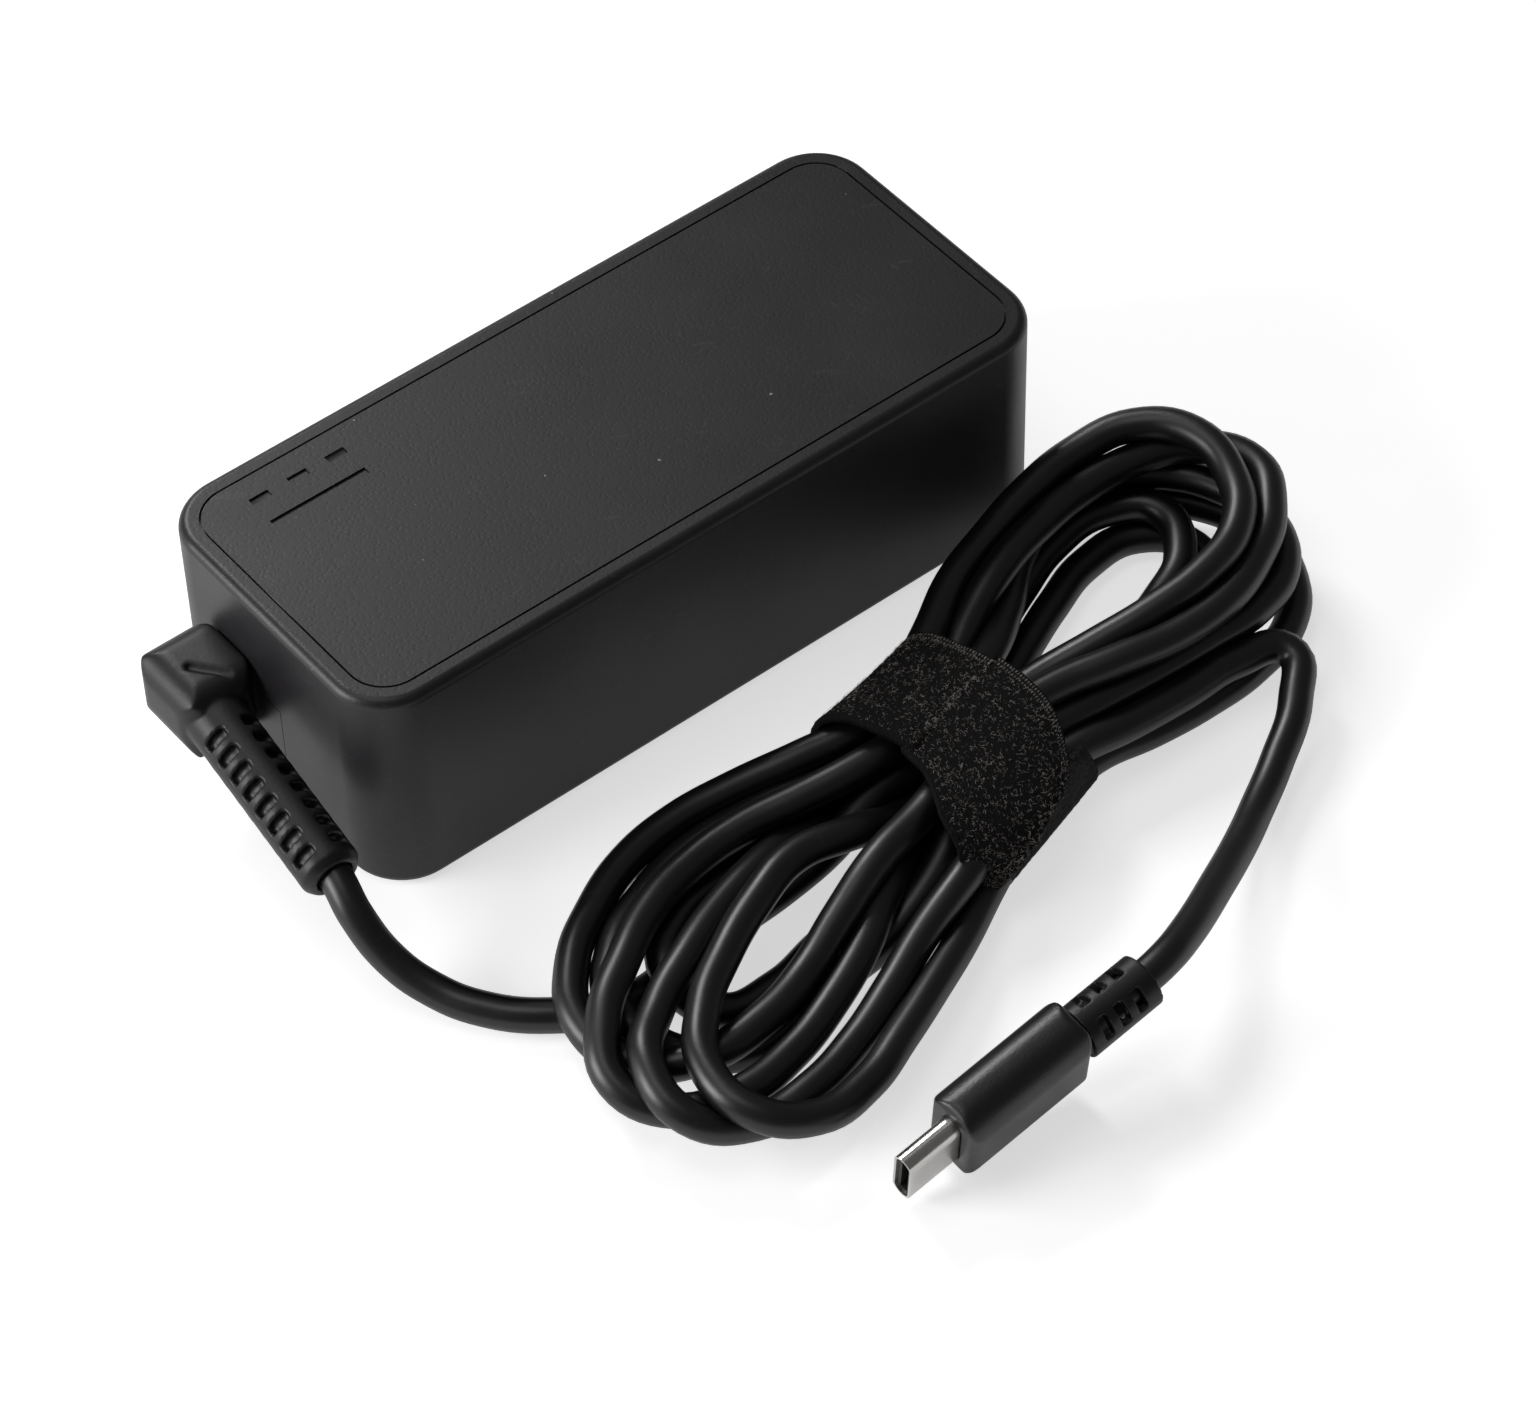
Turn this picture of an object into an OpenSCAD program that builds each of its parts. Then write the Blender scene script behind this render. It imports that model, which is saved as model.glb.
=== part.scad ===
// Laptop power adapter: a moulded case with its circuit inside, an angled cord boot,
// a coiled output cord held by a hook-and-loop strap, and a small plug turned on its side.
// Millimetres, +Z up. The origin is the middle of the case's underside.

/* [Case] */
// Length of the case, along X
case_l = 93; // [90:0.5:120]
// Width of the case, along Y
case_w = 40; // [40:0.5:50]
// Height of the case
case_h = 29.5; // [29.5:0.5:36]
// Radius of the upright corners
corner_r = 7; // [6:0.5:8]
// Rounding of the top edge
top_round = 1.2; // [0.6:0.1:1.8]
// Rounding of the bottom edge
bottom_round = 1.5; // [0.6:0.1:1.8]
// Thickness of the side walls
wall = 2.3; // [1.8:0.1:2.8]
// Thickness of the top wall
roof = 2; // [1.6:0.1:2.1]
// Thickness of the base plate
base_t = 2; // [1.6:0.1:2.4]
// Width of the decorative groove in the top
groove_w = 0.25; // [0.15:0.05:0.6]
// Depth of the decorative groove
groove_depth = 0.4; // [0.2:0.1:0.8]
// Clearance between pieces that fit into each other
fit = 0.1; // [0.05:0.01:0.15]

/* [Cord boot] */
// Sideways place of the boot on the end wall
boot_y = 7; // [4:0.5:8]
// Height of the boot's middle
boot_z = 14; // [13.5:0.5:15.5]
// Width and height of the boot's elbow
elbow = 11.6; // [10.5:0.1:12]
// Reach of the elbow from the end wall
elbow_reach = 9.2; // [8.5:0.1:10]
// Corner radius of the elbow
elbow_r = 3.2; // [2:0.1:4]
// Corner radius of the elbow's underside
elbow_low_r = 5.6; // [4:0.1:5.6]
// Diameter of the ribbed sleeve
sleeve_d = 7; // [6.2:0.1:8]
// Length of the ribbed sleeve, from the elbow's middle
sleeve_l = 24; // [22:0.5:26]
// Outward lean of the sleeve, in degrees
sleeve_lean = 3.5; // [0:0.5:6]
// Downward dip of the sleeve, in degrees
sleeve_dip = 9.8; // [8:0.2:12]
// Relief slots in each of the four rows
slots = 8; // [4:1:8]
// Distance from one relief slot to the next
slot_pitch = 2.47; // [2.2:0.01:2.5]
// Width of a relief slot along the sleeve
slot_w = 1.25; // [0.8:0.05:1.4]
// Square neck that passes through the end wall
neck = 8; // [6:0.5:9]

/* [AC inlet] */
// Width of the inlet's face
inlet_w = 20; // [19:0.5:22]
// Height of the inlet's face
inlet_h = 17.4; // [17:0.2:18.4]
// Depth of the inlet's housing
inlet_d = 16; // [15:0.5:17]
// Depth of the recess for the mains connector
recess_d = 12.5; // [11:0.5:13]
// Spacing of the line and neutral pins
pin_spacing = 10; // [9.5:0.1:10.5]
// Drop from the line and neutral pins to the earth pin
earth_drop = 5.5; // [5:0.1:6]
// Diameter of the contact pins
pin_d = 2.4; // [2:0.1:2.6]
// Free length of the contact pins
pin_l = 10; // [8:0.5:10.5]

/* [Circuit] */
// Height of the posts that carry the board
post_h = 3; // [2.5:0.1:3.2]
// Thickness of the board
board_t = 1.6; // [1.2:0.1:1.6]
// Gap between the board and the walls at its ends
board_gap = 0.7; // [0.5:0.1:1.5]
// Diameter of a bulk capacitor
bulk_d = 12.5; // [10:0.5:12.5]
// Length of a bulk capacitor
bulk_l = 24; // [20:0.5:24]
// Length of the transformer's core across the board
core_w = 26; // [24:0.5:26]
// Height of the transformer's core
core_h = 19; // [16:0.5:19]
// Thickness of the transformer's core
core_t = 10; // [8:0.5:11]
// Diameter of an output capacitor
out_cap_d = 8; // [6.3:0.1:8]
// Thickness of the heat spreader
spreader_t = 0.5; // [0.3:0.1:0.5]
// Thickness of the insulation sheet
sheet_t = 0.4; // [0.2:0.1:0.4]

/* [Cord and strap] */
// Diameter of the output cord
cord_d = 3.9; // [3.2:0.1:4]
// Height of the coil's left lobe
left_lobe_h = 13; // [10:0.5:15]
// Height of the coil's right lobe
right_lobe_h = 17.5; // [12:0.5:19]
// Half of the width of the bundle where the strap holds it
waist_half = 12; // [10:0.5:13]
// Height of the bundle where the strap holds it
waist_h = 12; // [9:0.5:12.5]
// Width of the strap
strap_w = 17.5; // [12:0.5:18]
// Thickness of the strap
strap_t = 1.2; // [0.8:0.1:1.5]

/* [Plug] */
// Width of the plug's grip
grip_w = 12.4; // [11:0.1:13]
// Thickness of the plug's grip
grip_t = 7; // [6:0.1:7.2]
// Length of the plug's grip
grip_l = 16.8; // [16:0.2:24]
// Width of the metal tip
tip_w = 8.34; // [8.2:0.01:8.4]
// Thickness of the metal tip
tip_t = 2.56; // [2.4:0.01:2.6]
// Free length of the metal tip
tip_l = 6.65; // [6:0.05:7]
// Thickness of the tip's sheet metal
tip_wall = 0.3; // [0.2:0.05:0.35]
// Diameter of the plug's strain relief
relief_d = 6.2; // [5.6:0.1:6.6]
// Length of the plug's strain relief
relief_l = 9.4; // [9:0.2:12]
// Roll of the plug about its own length, in degrees
plug_roll = 78; // [0:1:90]
// Dip of the plug's tip, in degrees
plug_dip = 8; // [0:1:12]

/* [Hidden] */
$fn = 64;
over = 1; // how far a cutting shape runs past the face it cuts
steel = [0.72, 0.72, 0.74];
black = [0.06, 0.06, 0.065];

// Case
inner_l = case_l - 2 * wall;
inner_w = case_w - 2 * wall;
inner_r = corner_r - wall;
rim_t = 1.2;
rim_h = 2.5;
slot_open = 17.6; // opening in the end wall that the cord boot slides into
slot_top = boot_z + 1.6;
mark_depth = 0.25;
mark_line = 1;
mark_l = 12.5;
mark_at = [15 - case_l / 2, case_w / 2 - 8];

// Circuit
board_z = base_t + post_h;
board_top = board_z + board_t;
board_l = inner_l - 2 * board_gap;
spreader_w = inner_w - 2 * fit;
sheet_w = spreader_w - 2 * spreader_t;
board_w = sheet_w - 2 * sheet_t - 2 * fit;
board_r = inner_r - board_gap;
spreader_top = case_h - roof - fit;
sheet_top = spreader_top - spreader_t;
sheet_under = sheet_top - sheet_t;
liner_low = base_t + rim_h + fit;
spreader_l = 68;
post_at = [for (x = [-1, 1], y = [-1, 1]) [x * (board_l / 2 - 5), y * (board_w / 2 - 5)]];
post_d = 5;
peg_d = 2.8;

// AC inlet
inlet_face = case_l / 2;
inlet_back = inlet_face - inlet_d;
inlet_floor = inlet_face - recess_d;
inlet_z = board_top + inlet_h / 2;
pin_row_z = inlet_z + 1.8;
pin_at = [[pin_spacing / 2, pin_row_z], [-pin_spacing / 2, pin_row_z], [0, pin_row_z - earth_drop]];
recess_r = 4.1;
root_d = pin_d + 0.6;
tab_t = 1.2;
flange_t = 1.6;

// Places along the board, from the inlet to the cord
part_gap = 0.5;
choke_r = 7.5;
ring_t = 3.4;
wire_t = 0.8;
choke_h = 6;
choke_x = inlet_back - tab_t - part_gap - choke_r - wire_t;
bulk_x = choke_x - choke_r - wire_t - part_gap - bulk_l / 2;
coil_reach = 4.6;
rail_t = 1;
transformer_l = core_t + 2 * coil_reach + 2 * rail_t;
transformer_x = bulk_x - bulk_l / 2 - part_gap - transformer_l / 2;
transformer_end = transformer_x - transformer_l / 2;
out_x = transformer_end - part_gap - out_cap_d / 2;
window_w = 5;
leg_w = core_w - 4 * window_w + 2;
core_yoke = 4;
heatsink_t = 1.5;
heatsink_y = heatsink_t / 2 - board_w / 2 + 0.3;
heatsink_h = 18;
switch_foot = 3;
screw_z = board_top + switch_foot + 12.6;

// Cord boot: the sleeve's start, and its direction worked out from lean and dip
boot_gap = 0.1;
sleeve_at = [-case_l / 2 - 5.5, boot_y - 4.3, boot_z + 1.1];
slot_depth = 1;
slot_arc = 52;
end_taper = 1;
last_slot = 2.2;
bore_l = 10;
mark_slot = [5.3, 1];
boot_flange = [2.2, 12, 11];
flange_end = wall + fit + boot_flange.x - case_l / 2;

// Route of the free cord, hand-chosen: from the boot to the coil, and from the coil to the plug
lead_points = [
    [-53.1, -15, 12], [-53.4, -20.9, 11], [-53.9, -25, 8.9], [-53, -29.5, 5.2], [-51, -34, 2.9],
    [-48.6, -38.4, 2.1], [-45.6, -42.4, 2.1], [-41.6, -45.6, 2.1], [-36, -48.4, 2.1]
];
tail_points = [
    [26, -54.6, 6.3], [33, -54.7, 6.1], [40, -54.5, 6.1], [45.5, -54.4, 6], [48.6, -55.4, 5.9],
    [49.5, -57.4, 5.6], [48.3, -60.2, 5.2], [42.5, -65, 3.9], [38.1, -67.5, 3.3], [32.2, -70.9, 3.2],
    [27.6, -73.7, 4.2], [19.8, -78.1, 6.6], [11.1, -82.6, 9.2], [7, -84.1, 10], [3.6, -84.6, 9.9],
    [-0.7, -84.7, 9.3]
];
cord_sides = 8;

// Coil: its own frame lies along the bundle
hank_at = [10, -47];
hank_turn = 17.3;
strap_middle = 2.8;
left_end = strap_middle - strap_w / 2;
right_end = strap_middle + strap_w / 2;
waist_lift = strap_t + fit;
waist_r = 3;
left_lobe = [[-43.4, 9.2, 13.4], [-44.4, -3, 13.2], [-27, 14, 10], [-31, -4.5, 10]];
right_lobe = [[36, -0.5, 15.4], [37.4, -4.8, 15.4]];

// Plug
plug_at = [-6.5, -84.9, 8.37];
plug_turn = 181.8;
neck_gap = 0.8;
neck_d = 4.8;
tip_in = 5;
liner_l = tip_in + tip_l - 0.4;
mouth_w = 6.9;
mouth_t = 1;
mouth_d = 6;
contacts = 12;
contact_pitch = 0.5;

// A flat rectangle with round corners
module rounded_rect(l, w, r) {
    square([l - 2 * r, w], center = true);
    square([l, w - 2 * r], center = true);
    for (x = [-1, 1], y = [-1, 1])
        translate([x * (l / 2 - r), y * (w / 2 - r)])
            circle(r);
}

// An upright block with round corners, standing on z = 0
module slab(l, w, h, r) {
    linear_extrude(h)
        rounded_rect(l, w, r);
}

// A bar with round corners that lies along X, from x = 0
module bar(length, w, h, r) {
    rotate([90, 0, 90])
        linear_extrude(length)
            rounded_rect(w, h, r);
}

// Half of an upright section: flat inside, with the outer corners rounded
module edge_profile(reach, h, top_r, low_r) {
    square([reach - low_r, low_r]);
    translate([0, low_r])
        square([reach, h - top_r - low_r]);
    translate([0, h - top_r])
        square([reach - top_r, top_r]);
    translate([reach - top_r, h - top_r])
        circle(top_r);
    translate([reach - low_r, low_r])
        circle(low_r);
}

// The case's outer form: two crossing bodies and four turned corners
module soft_block(l, w, h, r, top_r, low_r) {
    rotate([90, 0, 90])
        linear_extrude(l - 2 * r, center = true)
            for (side = [0, 1])
                mirror([side, 0])
                    edge_profile(w / 2, h, top_r, low_r);
    rotate([90, 0, 0])
        linear_extrude(w - 2 * r, center = true)
            for (side = [0, 1])
                mirror([side, 0])
                    edge_profile(l / 2, h, top_r, low_r);
    for (x = [0, 1], y = [0, 1])
        mirror([x, 0, 0])
            mirror([0, y, 0])
                translate([l / 2 - r, w / 2 - r, 0])
                    rotate_extrude(angle = 90)
                        edge_profile(r, h, top_r, low_r);
}

// Case shell

module gland_opening() {
    translate([-case_l / 2 - over, boot_y - slot_open / 2, -over])
        cube([wall + 2 * over, slot_open, slot_top + over]);
    translate([-case_l / 2 - over, boot_y, boot_z])
        bar(wall + 2 * over, neck + 2 * fit, neck + 2 * fit, 2);
}

module inlet_window() {
    translate([case_l / 2 - wall - over, 0, inlet_z])
        bar(wall + 2 * over, inlet_w + 2 * fit, inlet_h + 2 * fit, 2);
}

module top_groove() {
    translate([0, 0, case_h - groove_depth])
        difference() {
            slab(inner_l, inner_w, groove_depth + over, inner_r);
            translate([0, 0, -over])
                slab(inner_l - 2 * groove_w, inner_w - 2 * groove_w, groove_depth + 3 * over,
                    inner_r - groove_w);
        }
}

// Direct-current sign: one long line and three short ones
module current_mark() {
    dash = mark_l / 5;
    translate([mark_at.x, mark_at.y, case_h - mark_depth])
        linear_extrude(mark_depth + over) {
            translate([0, -2])
                square([mark_l, mark_line], center = true);
            for (i = [-2, 0, 2])
                translate([i * dash, 2])
                    square([dash, mark_line], center = true);
        }
}

module case_shell() {
    color(black)
        difference() {
            soft_block(case_l, case_w, case_h, corner_r, top_round, bottom_round);
            translate([0, 0, -over])
                slab(inner_l, inner_w, case_h - roof + over, inner_r);
            top_groove();
            current_mark();
            gland_opening();
            inlet_window();
        }
}

// Base plate

// The piece of the case's outer form that closes the gland slot, with a lip to the plate
module tongue() {
    width = slot_open - 2 * fit;
    intersection() {
        soft_block(case_l, case_w, case_h, corner_r, top_round, bottom_round);
        translate([-case_l / 2 - over, boot_y - width / 2, -over])
            cube([wall + over, width, slot_top - fit + over]);
    }
    translate([-case_l / 2 + wall - fit, boot_y - width / 2, 0])
        cube([rim_t, width, base_t]);
}

module base_plate() {
    plate_l = inner_l - 2 * fit;
    plate_w = inner_w - 2 * fit;
    plate_r = inner_r - fit;
    color(black)
        difference() {
            union() {
                slab(plate_l, plate_w, base_t, plate_r);
                difference() {
                    slab(plate_l, plate_w, base_t + rim_h, plate_r);
                    translate([0, 0, base_t])
                        slab(plate_l - 2 * rim_t, plate_w - 2 * rim_t, rim_h + over, plate_r - rim_t);
                }
                tongue();
                for (at = post_at)
                    translate([at.x, at.y, 0]) {
                        cylinder(h = board_z, d = post_d);
                        cylinder(h = board_top - fit, d = peg_d);
                    }
            }
            translate([-case_l / 2 - over, boot_y, boot_z])
                bar(wall + 2 * over, neck + 2 * fit, neck + 2 * fit, 2);
        }
}

// AC inlet

module recess_outline() {
    for (at = pin_at)
        translate([at.x, at.y - inlet_z])
            circle(recess_r);
    top = pin_row_z - inlet_z;
    polygon([
        [-pin_spacing / 2, top + 3], [pin_spacing / 2, top + 3], [pin_spacing / 2 + 3, top - 2.6],
        [3, top - earth_drop - 2.6], [-3, top - earth_drop - 2.6], [-pin_spacing / 2 - 3, top - 2.6]
    ]);
}

module inlet_body() {
    color(black)
        difference() {
            union() {
                translate([inlet_back, 0, inlet_z])
                    bar(inlet_d, inlet_w, inlet_h, 2);
                translate([inlet_face - wall - fit - flange_t, 0, inlet_z])
                    bar(flange_t, inlet_w + 2.4, inlet_h, 2);
            }
            translate([inlet_floor, 0, inlet_z])
                rotate([90, 0, 90])
                    linear_extrude(recess_d + over)
                        recess_outline();
            for (at = pin_at)
                translate([inlet_back - over, at.x, at.y])
                    rotate([0, 90, 0])
                        cylinder(h = inlet_d, d = root_d + 0.04);
        }
}

module inlet_pins() {
    reach = inlet_floor + pin_l - pin_d / 2;
    color(steel)
        for (at = pin_at) {
            translate([inlet_back - tab_t, at.x, at.y])
                rotate([0, 90, 0]) {
                    cylinder(h = inlet_floor - inlet_back + tab_t, d = root_d);
                    cylinder(h = reach - inlet_back + tab_t, d = pin_d);
                }
            translate([reach, at.x, at.y])
                sphere(d = pin_d);
            translate([inlet_back - tab_t, at.x - 1, board_top])
                cube([tab_t - fit, 2, at.y - board_top + 1]);
        }
}

// Circuit

module main_board() {
    color([0.1, 0.32, 0.14])
        difference() {
            translate([0, 0, board_z])
                slab(board_l, board_w, board_t, board_r);
            for (at = post_at)
                translate([at.x, at.y, board_z - over])
                    cylinder(h = board_t + 2 * over, d = peg_d + 2 * fit);
        }
}

module fuse() {
    fuse_d = 7.6;
    color([0.2, 0.2, 0.2])
        translate([choke_x + 3, board_w / 2 - fuse_d / 2 - 0.2, board_top]) {
            cylinder(h = 8, d = fuse_d);
            translate([0, 0, 8])
                cylinder(h = 0.4, d = fuse_d - 1.6);
        }
}

module x_capacitor() {
    x_cap = [13, 6.6, 11];
    color([0.85, 0.75, 0.2])
        translate([choke_x + 1, x_cap.y / 2 - board_w / 2 + 0.2, board_top])
            slab(x_cap.x, x_cap.y, x_cap.z, 0.6);
}

module choke_core() {
    color([0.15, 0.35, 0.2])
        translate([choke_x, 0, board_top + wire_t])
            rotate_extrude()
                translate([choke_r - ring_t + fit, fit])
                    square([ring_t - 2 * fit, choke_h - 2 * fit]);
}

module choke_windings() {
    arc = 130;
    color([0.72, 0.42, 0.2])
        for (side = [0, 180])
            translate([choke_x, 0, board_top])
                rotate([0, 0, side - arc / 2])
                    rotate_extrude(angle = arc)
                        difference() {
                            translate([choke_r - ring_t - wire_t, 0])
                                square([ring_t + 2 * wire_t, choke_h + 2 * wire_t]);
                            translate([choke_r - ring_t, wire_t])
                                square([ring_t, choke_h]);
                        }
}

module bridge_rectifier() {
    body = [8, 3.6, 12];
    lead_l = 2;
    translate([bulk_x + bulk_l / 2 - 4.2, heatsink_y + heatsink_t / 2 + 2, board_top]) {
        color([0.12, 0.12, 0.13])
            translate([0, body.y / 2, lead_l])
                rotate([90, 0, 0])
                    linear_extrude(body.y)
                        polygon([
                            [-body.x / 2, 0], [body.x / 2, 0], [body.x / 2, body.z],
                            [2 - body.x / 2, body.z], [-body.x / 2, body.z - 2]
                        ]);
        color(steel)
            for (i = [-1.5:1:1.5])
                translate([i * 1.9 - 0.35, -0.25, 0])
                    cube([0.7, 0.5, lead_l]);
    }
}

// An aluminium can on its side, with the crimp near its open end
module lying_can(d, length) {
    rotate([0, 90, 0])
        difference() {
            cylinder(h = length, d = d);
            translate([0, 0, length - 2.4])
                rotate_extrude()
                    translate([d / 2, 0])
                        circle(0.5);
            translate([0, 0, length - 0.5])
                cylinder(h = 0.5 + over, d = d - 2.6);
        }
}

module bulk_capacitors() {
    first_y = board_w / 2 - bulk_d / 2 - 0.2;
    color([0.12, 0.14, 0.3])
        for (i = [0, 1])
            translate([bulk_x - bulk_l / 2, first_y - i * (bulk_d + part_gap), board_top + bulk_d / 2])
                lying_can(bulk_d, bulk_l);
}

module primary_heatsink() {
    length = bulk_l - 1;
    color([0.78, 0.78, 0.8])
        difference() {
            translate([bulk_x - length / 2, heatsink_y - heatsink_t / 2, board_top])
                cube([length, heatsink_t, heatsink_h]);
            translate([bulk_x - 5, heatsink_y, screw_z])
                rotate([90, 0, 0])
                    cylinder(h = heatsink_t + 2 * over, d = 3, center = true);
        }
}

// A power transistor that stands on its leads with its tab against the heatsink
module primary_switch() {
    translate([bulk_x - 5, heatsink_y + heatsink_t / 2, board_top]) {
        color(steel)
            difference() {
                translate([-5, 0, switch_foot])
                    cube([10, 1.3, 15]);
                translate([0, -over, screw_z - board_top])
                    rotate([-90, 0, 0])
                        cylinder(h = 1.3 + 2 * over, d = 3.6);
            }
        color([0.12, 0.12, 0.13])
            translate([-5, 1.3, switch_foot])
                cube([10, 3, 9]);
        color(steel)
            for (i = [-1, 0, 1])
                translate([i * 2.54 - 0.4, 2, 0])
                    cube([0.8, 0.5, switch_foot]);
    }
}

module heatsink_screw() {
    color(steel)
        translate([bulk_x - 5, heatsink_y - heatsink_t / 2, screw_z])
            rotate([-90, 0, 0]) {
                cylinder(h = heatsink_t + 1.3, d = 2.9);
                translate([0, 0, heatsink_t + 1.3])
                    difference() {
                        cylinder(h = 2, d = 5.4);
                        for (a = [0, 90])
                            rotate([0, 0, a])
                                translate([-1.8, -0.3, 1])
                                    cube([3.6, 0.6, 1 + over]);
                    }
            }
}

module transformer_core() {
    color([0.2, 0.2, 0.22])
        difference() {
            translate([transformer_x - core_t / 2, -core_w / 2, board_top])
                cube([core_t, core_w, core_h]);
            for (side = [-1, 1])
                translate([transformer_x, side * (leg_w + window_w) / 2, board_top + core_h / 2])
                    cube([core_t + 2 * over, window_w, core_h - 2 * core_yoke], center = true);
        }
}

module coil_ring(outer_l, outer_w, hole_l, hole_w, h) {
    difference() {
        slab(outer_l, outer_w, h, 2.4);
        translate([-hole_l / 2, -hole_w / 2, -over])
            cube([hole_l, hole_w, h + 2 * over]);
    }
}

module transformer_bobbin() {
    low = board_top + core_yoke + fit;
    height = core_h - 2 * core_yoke - 2 * fit;
    coil_w = leg_w + 2 * window_w - 0.6;
    coil_l = core_t + 2 * coil_reach;
    color([0.1, 0.1, 0.1])
        translate([transformer_x, 0, 0]) {
            translate([0, 0, low])
                difference() {
                    translate([-core_t / 2 - 1.2, -leg_w / 2 - 1.2, 0])
                        cube([core_t + 2.4, leg_w + 2.4, height]);
                    translate([-core_t / 2 - fit, -leg_w / 2 - fit, -over])
                        cube([core_t + 2 * fit, leg_w + 2 * fit, height + 2 * over]);
                }
            for (z = [low, low + height - 1])
                translate([0, 0, z])
                    coil_ring(coil_l, coil_w, core_t + 2 * fit, leg_w + 2 * fit, 1);
            for (side = [-1, 1])
                translate([side * (coil_l / 2 - 1), 0, board_top])
                    translate([-rail_t - 0.5, -coil_w / 2 + 2, 0])
                        cube([2 * rail_t + 1, coil_w - 4, core_yoke + fit + 1]);
        }
}

module transformer_winding() {
    low = board_top + core_yoke + fit + 1;
    height = core_h - 2 * core_yoke - 2 * fit - 2;
    color([0.8, 0.65, 0.15])
        translate([transformer_x, 0, low])
            coil_ring(core_t + 2 * coil_reach - 0.8, leg_w + 2 * window_w - 1.4, core_t + 2.4 + fit,
                leg_w + 2.4 + fit, height);
}

module y_capacitor() {
    disc_d = 7.6;
    color([0.15, 0.35, 0.75])
        translate([transformer_x, board_w / 2 - 0.2, board_top + disc_d / 2])
            rotate([90, 0, 0])
                cylinder(h = 2.8, d = disc_d);
}

module optocoupler() {
    color([0.1, 0.1, 0.1])
        translate([flange_end + 2 * fit, board_w / 2 - 5, board_top])
            cube([6.4, 4.6, 3.5]);
}

module control_chips() {
    color([0.1, 0.1, 0.1])
        for (y = [-6, 6])
            translate([bulk_x, y, board_z - 1.5])
                slab(5, 4, 1.5, 0.2);
}

module output_switch() {
    color([0.12, 0.12, 0.13])
        translate([out_x, boot_y - 1, board_z - 1.1])
            slab(6, 5, 1.1, 0.2);
}

module output_capacitors() {
    color([0.7, 0.72, 0.75])
        for (y = [-3.6, -3.6 - out_cap_d - part_gap])
            translate([out_x, y, board_top])
                difference() {
                    cylinder(h = 11.5, d = out_cap_d);
                    translate([0, 0, 2])
                        rotate_extrude()
                            translate([out_cap_d / 2, 0])
                                circle(0.4);
                    translate([-out_cap_d / 2, -0.2, 11.2])
                        cube([out_cap_d, 0.4, 0.3 + over]);
                }
}

module thermal_pad() {
    top = board_top + core_h;
    color([0.75, 0.75, 0.8])
        translate([transformer_x, 0, top])
            slab(core_t - 1, core_w - 4, sheet_under - top, 0.5);
}

// An inverted channel, open at both ends
module channel(length, w, top, low, t) {
    difference() {
        translate([-length / 2, -w / 2, low])
            cube([length, w, top - low]);
        translate([-length / 2 - over, -w / 2 + t, low - over])
            cube([length + 2 * over, w - 2 * t, top - t - low + over]);
    }
}

module insulation_sheet() {
    color([0.85, 0.8, 0.65])
        translate([inlet_back - tab_t - spreader_l / 2, 0, 0])
            channel(spreader_l, sheet_w, sheet_top, liner_low, sheet_t);
}

module heat_spreader() {
    color([0.8, 0.5, 0.3])
        translate([inlet_back - tab_t - spreader_l / 2, 0, 0])
            channel(spreader_l, spreader_w, spreader_top, liner_low, spreader_t);
}

// A swept round tube: points on a smooth curve, then one ring of corners at each
function between(a, b, c, d, t) =
    0.5 * (2 * b + (c - a) * t + (2 * a - 5 * b + 4 * c - d) * t * t
        + (3 * b - a - 3 * c + d) * t * t * t);
function pick(points, i) = points[max(0, min(len(points) - 1, i))];
function smooth_route(points, steps) = [
    for (i = [0:len(points) - 2], j = [0:steps - 1])
        between(pick(points, i - 1), points[i], points[i + 1], pick(points, i + 2), j / steps),
    points[len(points) - 1]
];
function unit(v) = v / norm(v);
function tube_ring(route, i, r, sides, aside) =
    let (
        along = unit(pick(route, i + 1) - pick(route, i - 1)),
        side = unit(cross(along, aside)),
        up = cross(side, along)
    )
    [for (k = [0:sides - 1]) route[i] + r * (cos(k * 360 / sides) * side + sin(k * 360 / sides) * up)];

// aside is a direction that the route never takes
module tube_along(points, r, sides, steps, aside = [0, 0, 1]) {
    route = smooth_route(points, steps);
    rings = len(route);
    corners = [for (i = [0:rings - 1]) each tube_ring(route, i, r, sides, aside)];
    walls = [
        for (i = [0:rings - 2], k = [0:sides - 1])
            [i * sides + k, i * sides + (k + 1) % sides, (i + 1) * sides + (k + 1) % sides,
             (i + 1) * sides + k]
    ];
    start = [for (k = [sides - 1:-1:0]) k];
    end = [for (k = [0:sides - 1]) (rings - 1) * sides + k];
    polyhedron(points = corners, faces = concat([start], walls, [end]));
}

// The two conductors from the board to the boot's flange
module output_wires() {
    start = [flange_end + fit, boot_y, boot_z];
    drop = boot_z - board_top - fit;
    route = [[0, 0, 0], [1.2, 0, 0], [2.6, 0, -0.9], [3.4, 0, -2.6], [3.5, 0, -4.4], [3.5, 0, -drop]];
    for (side = [-1, 1])
        color(side < 0 ? [0.7, 0.1, 0.1] : black)
            tube_along([for (p = route) start + p + [0, side * 1.5, 0]], 0.8, 8, 1, [0, 1, 0]);
}

// Cord boot

module at_sleeve() {
    translate(sleeve_at)
        rotate([0, 0, -sleeve_lean])
            rotate([90 + sleeve_dip, 0, 0])
                children();
}

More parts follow.
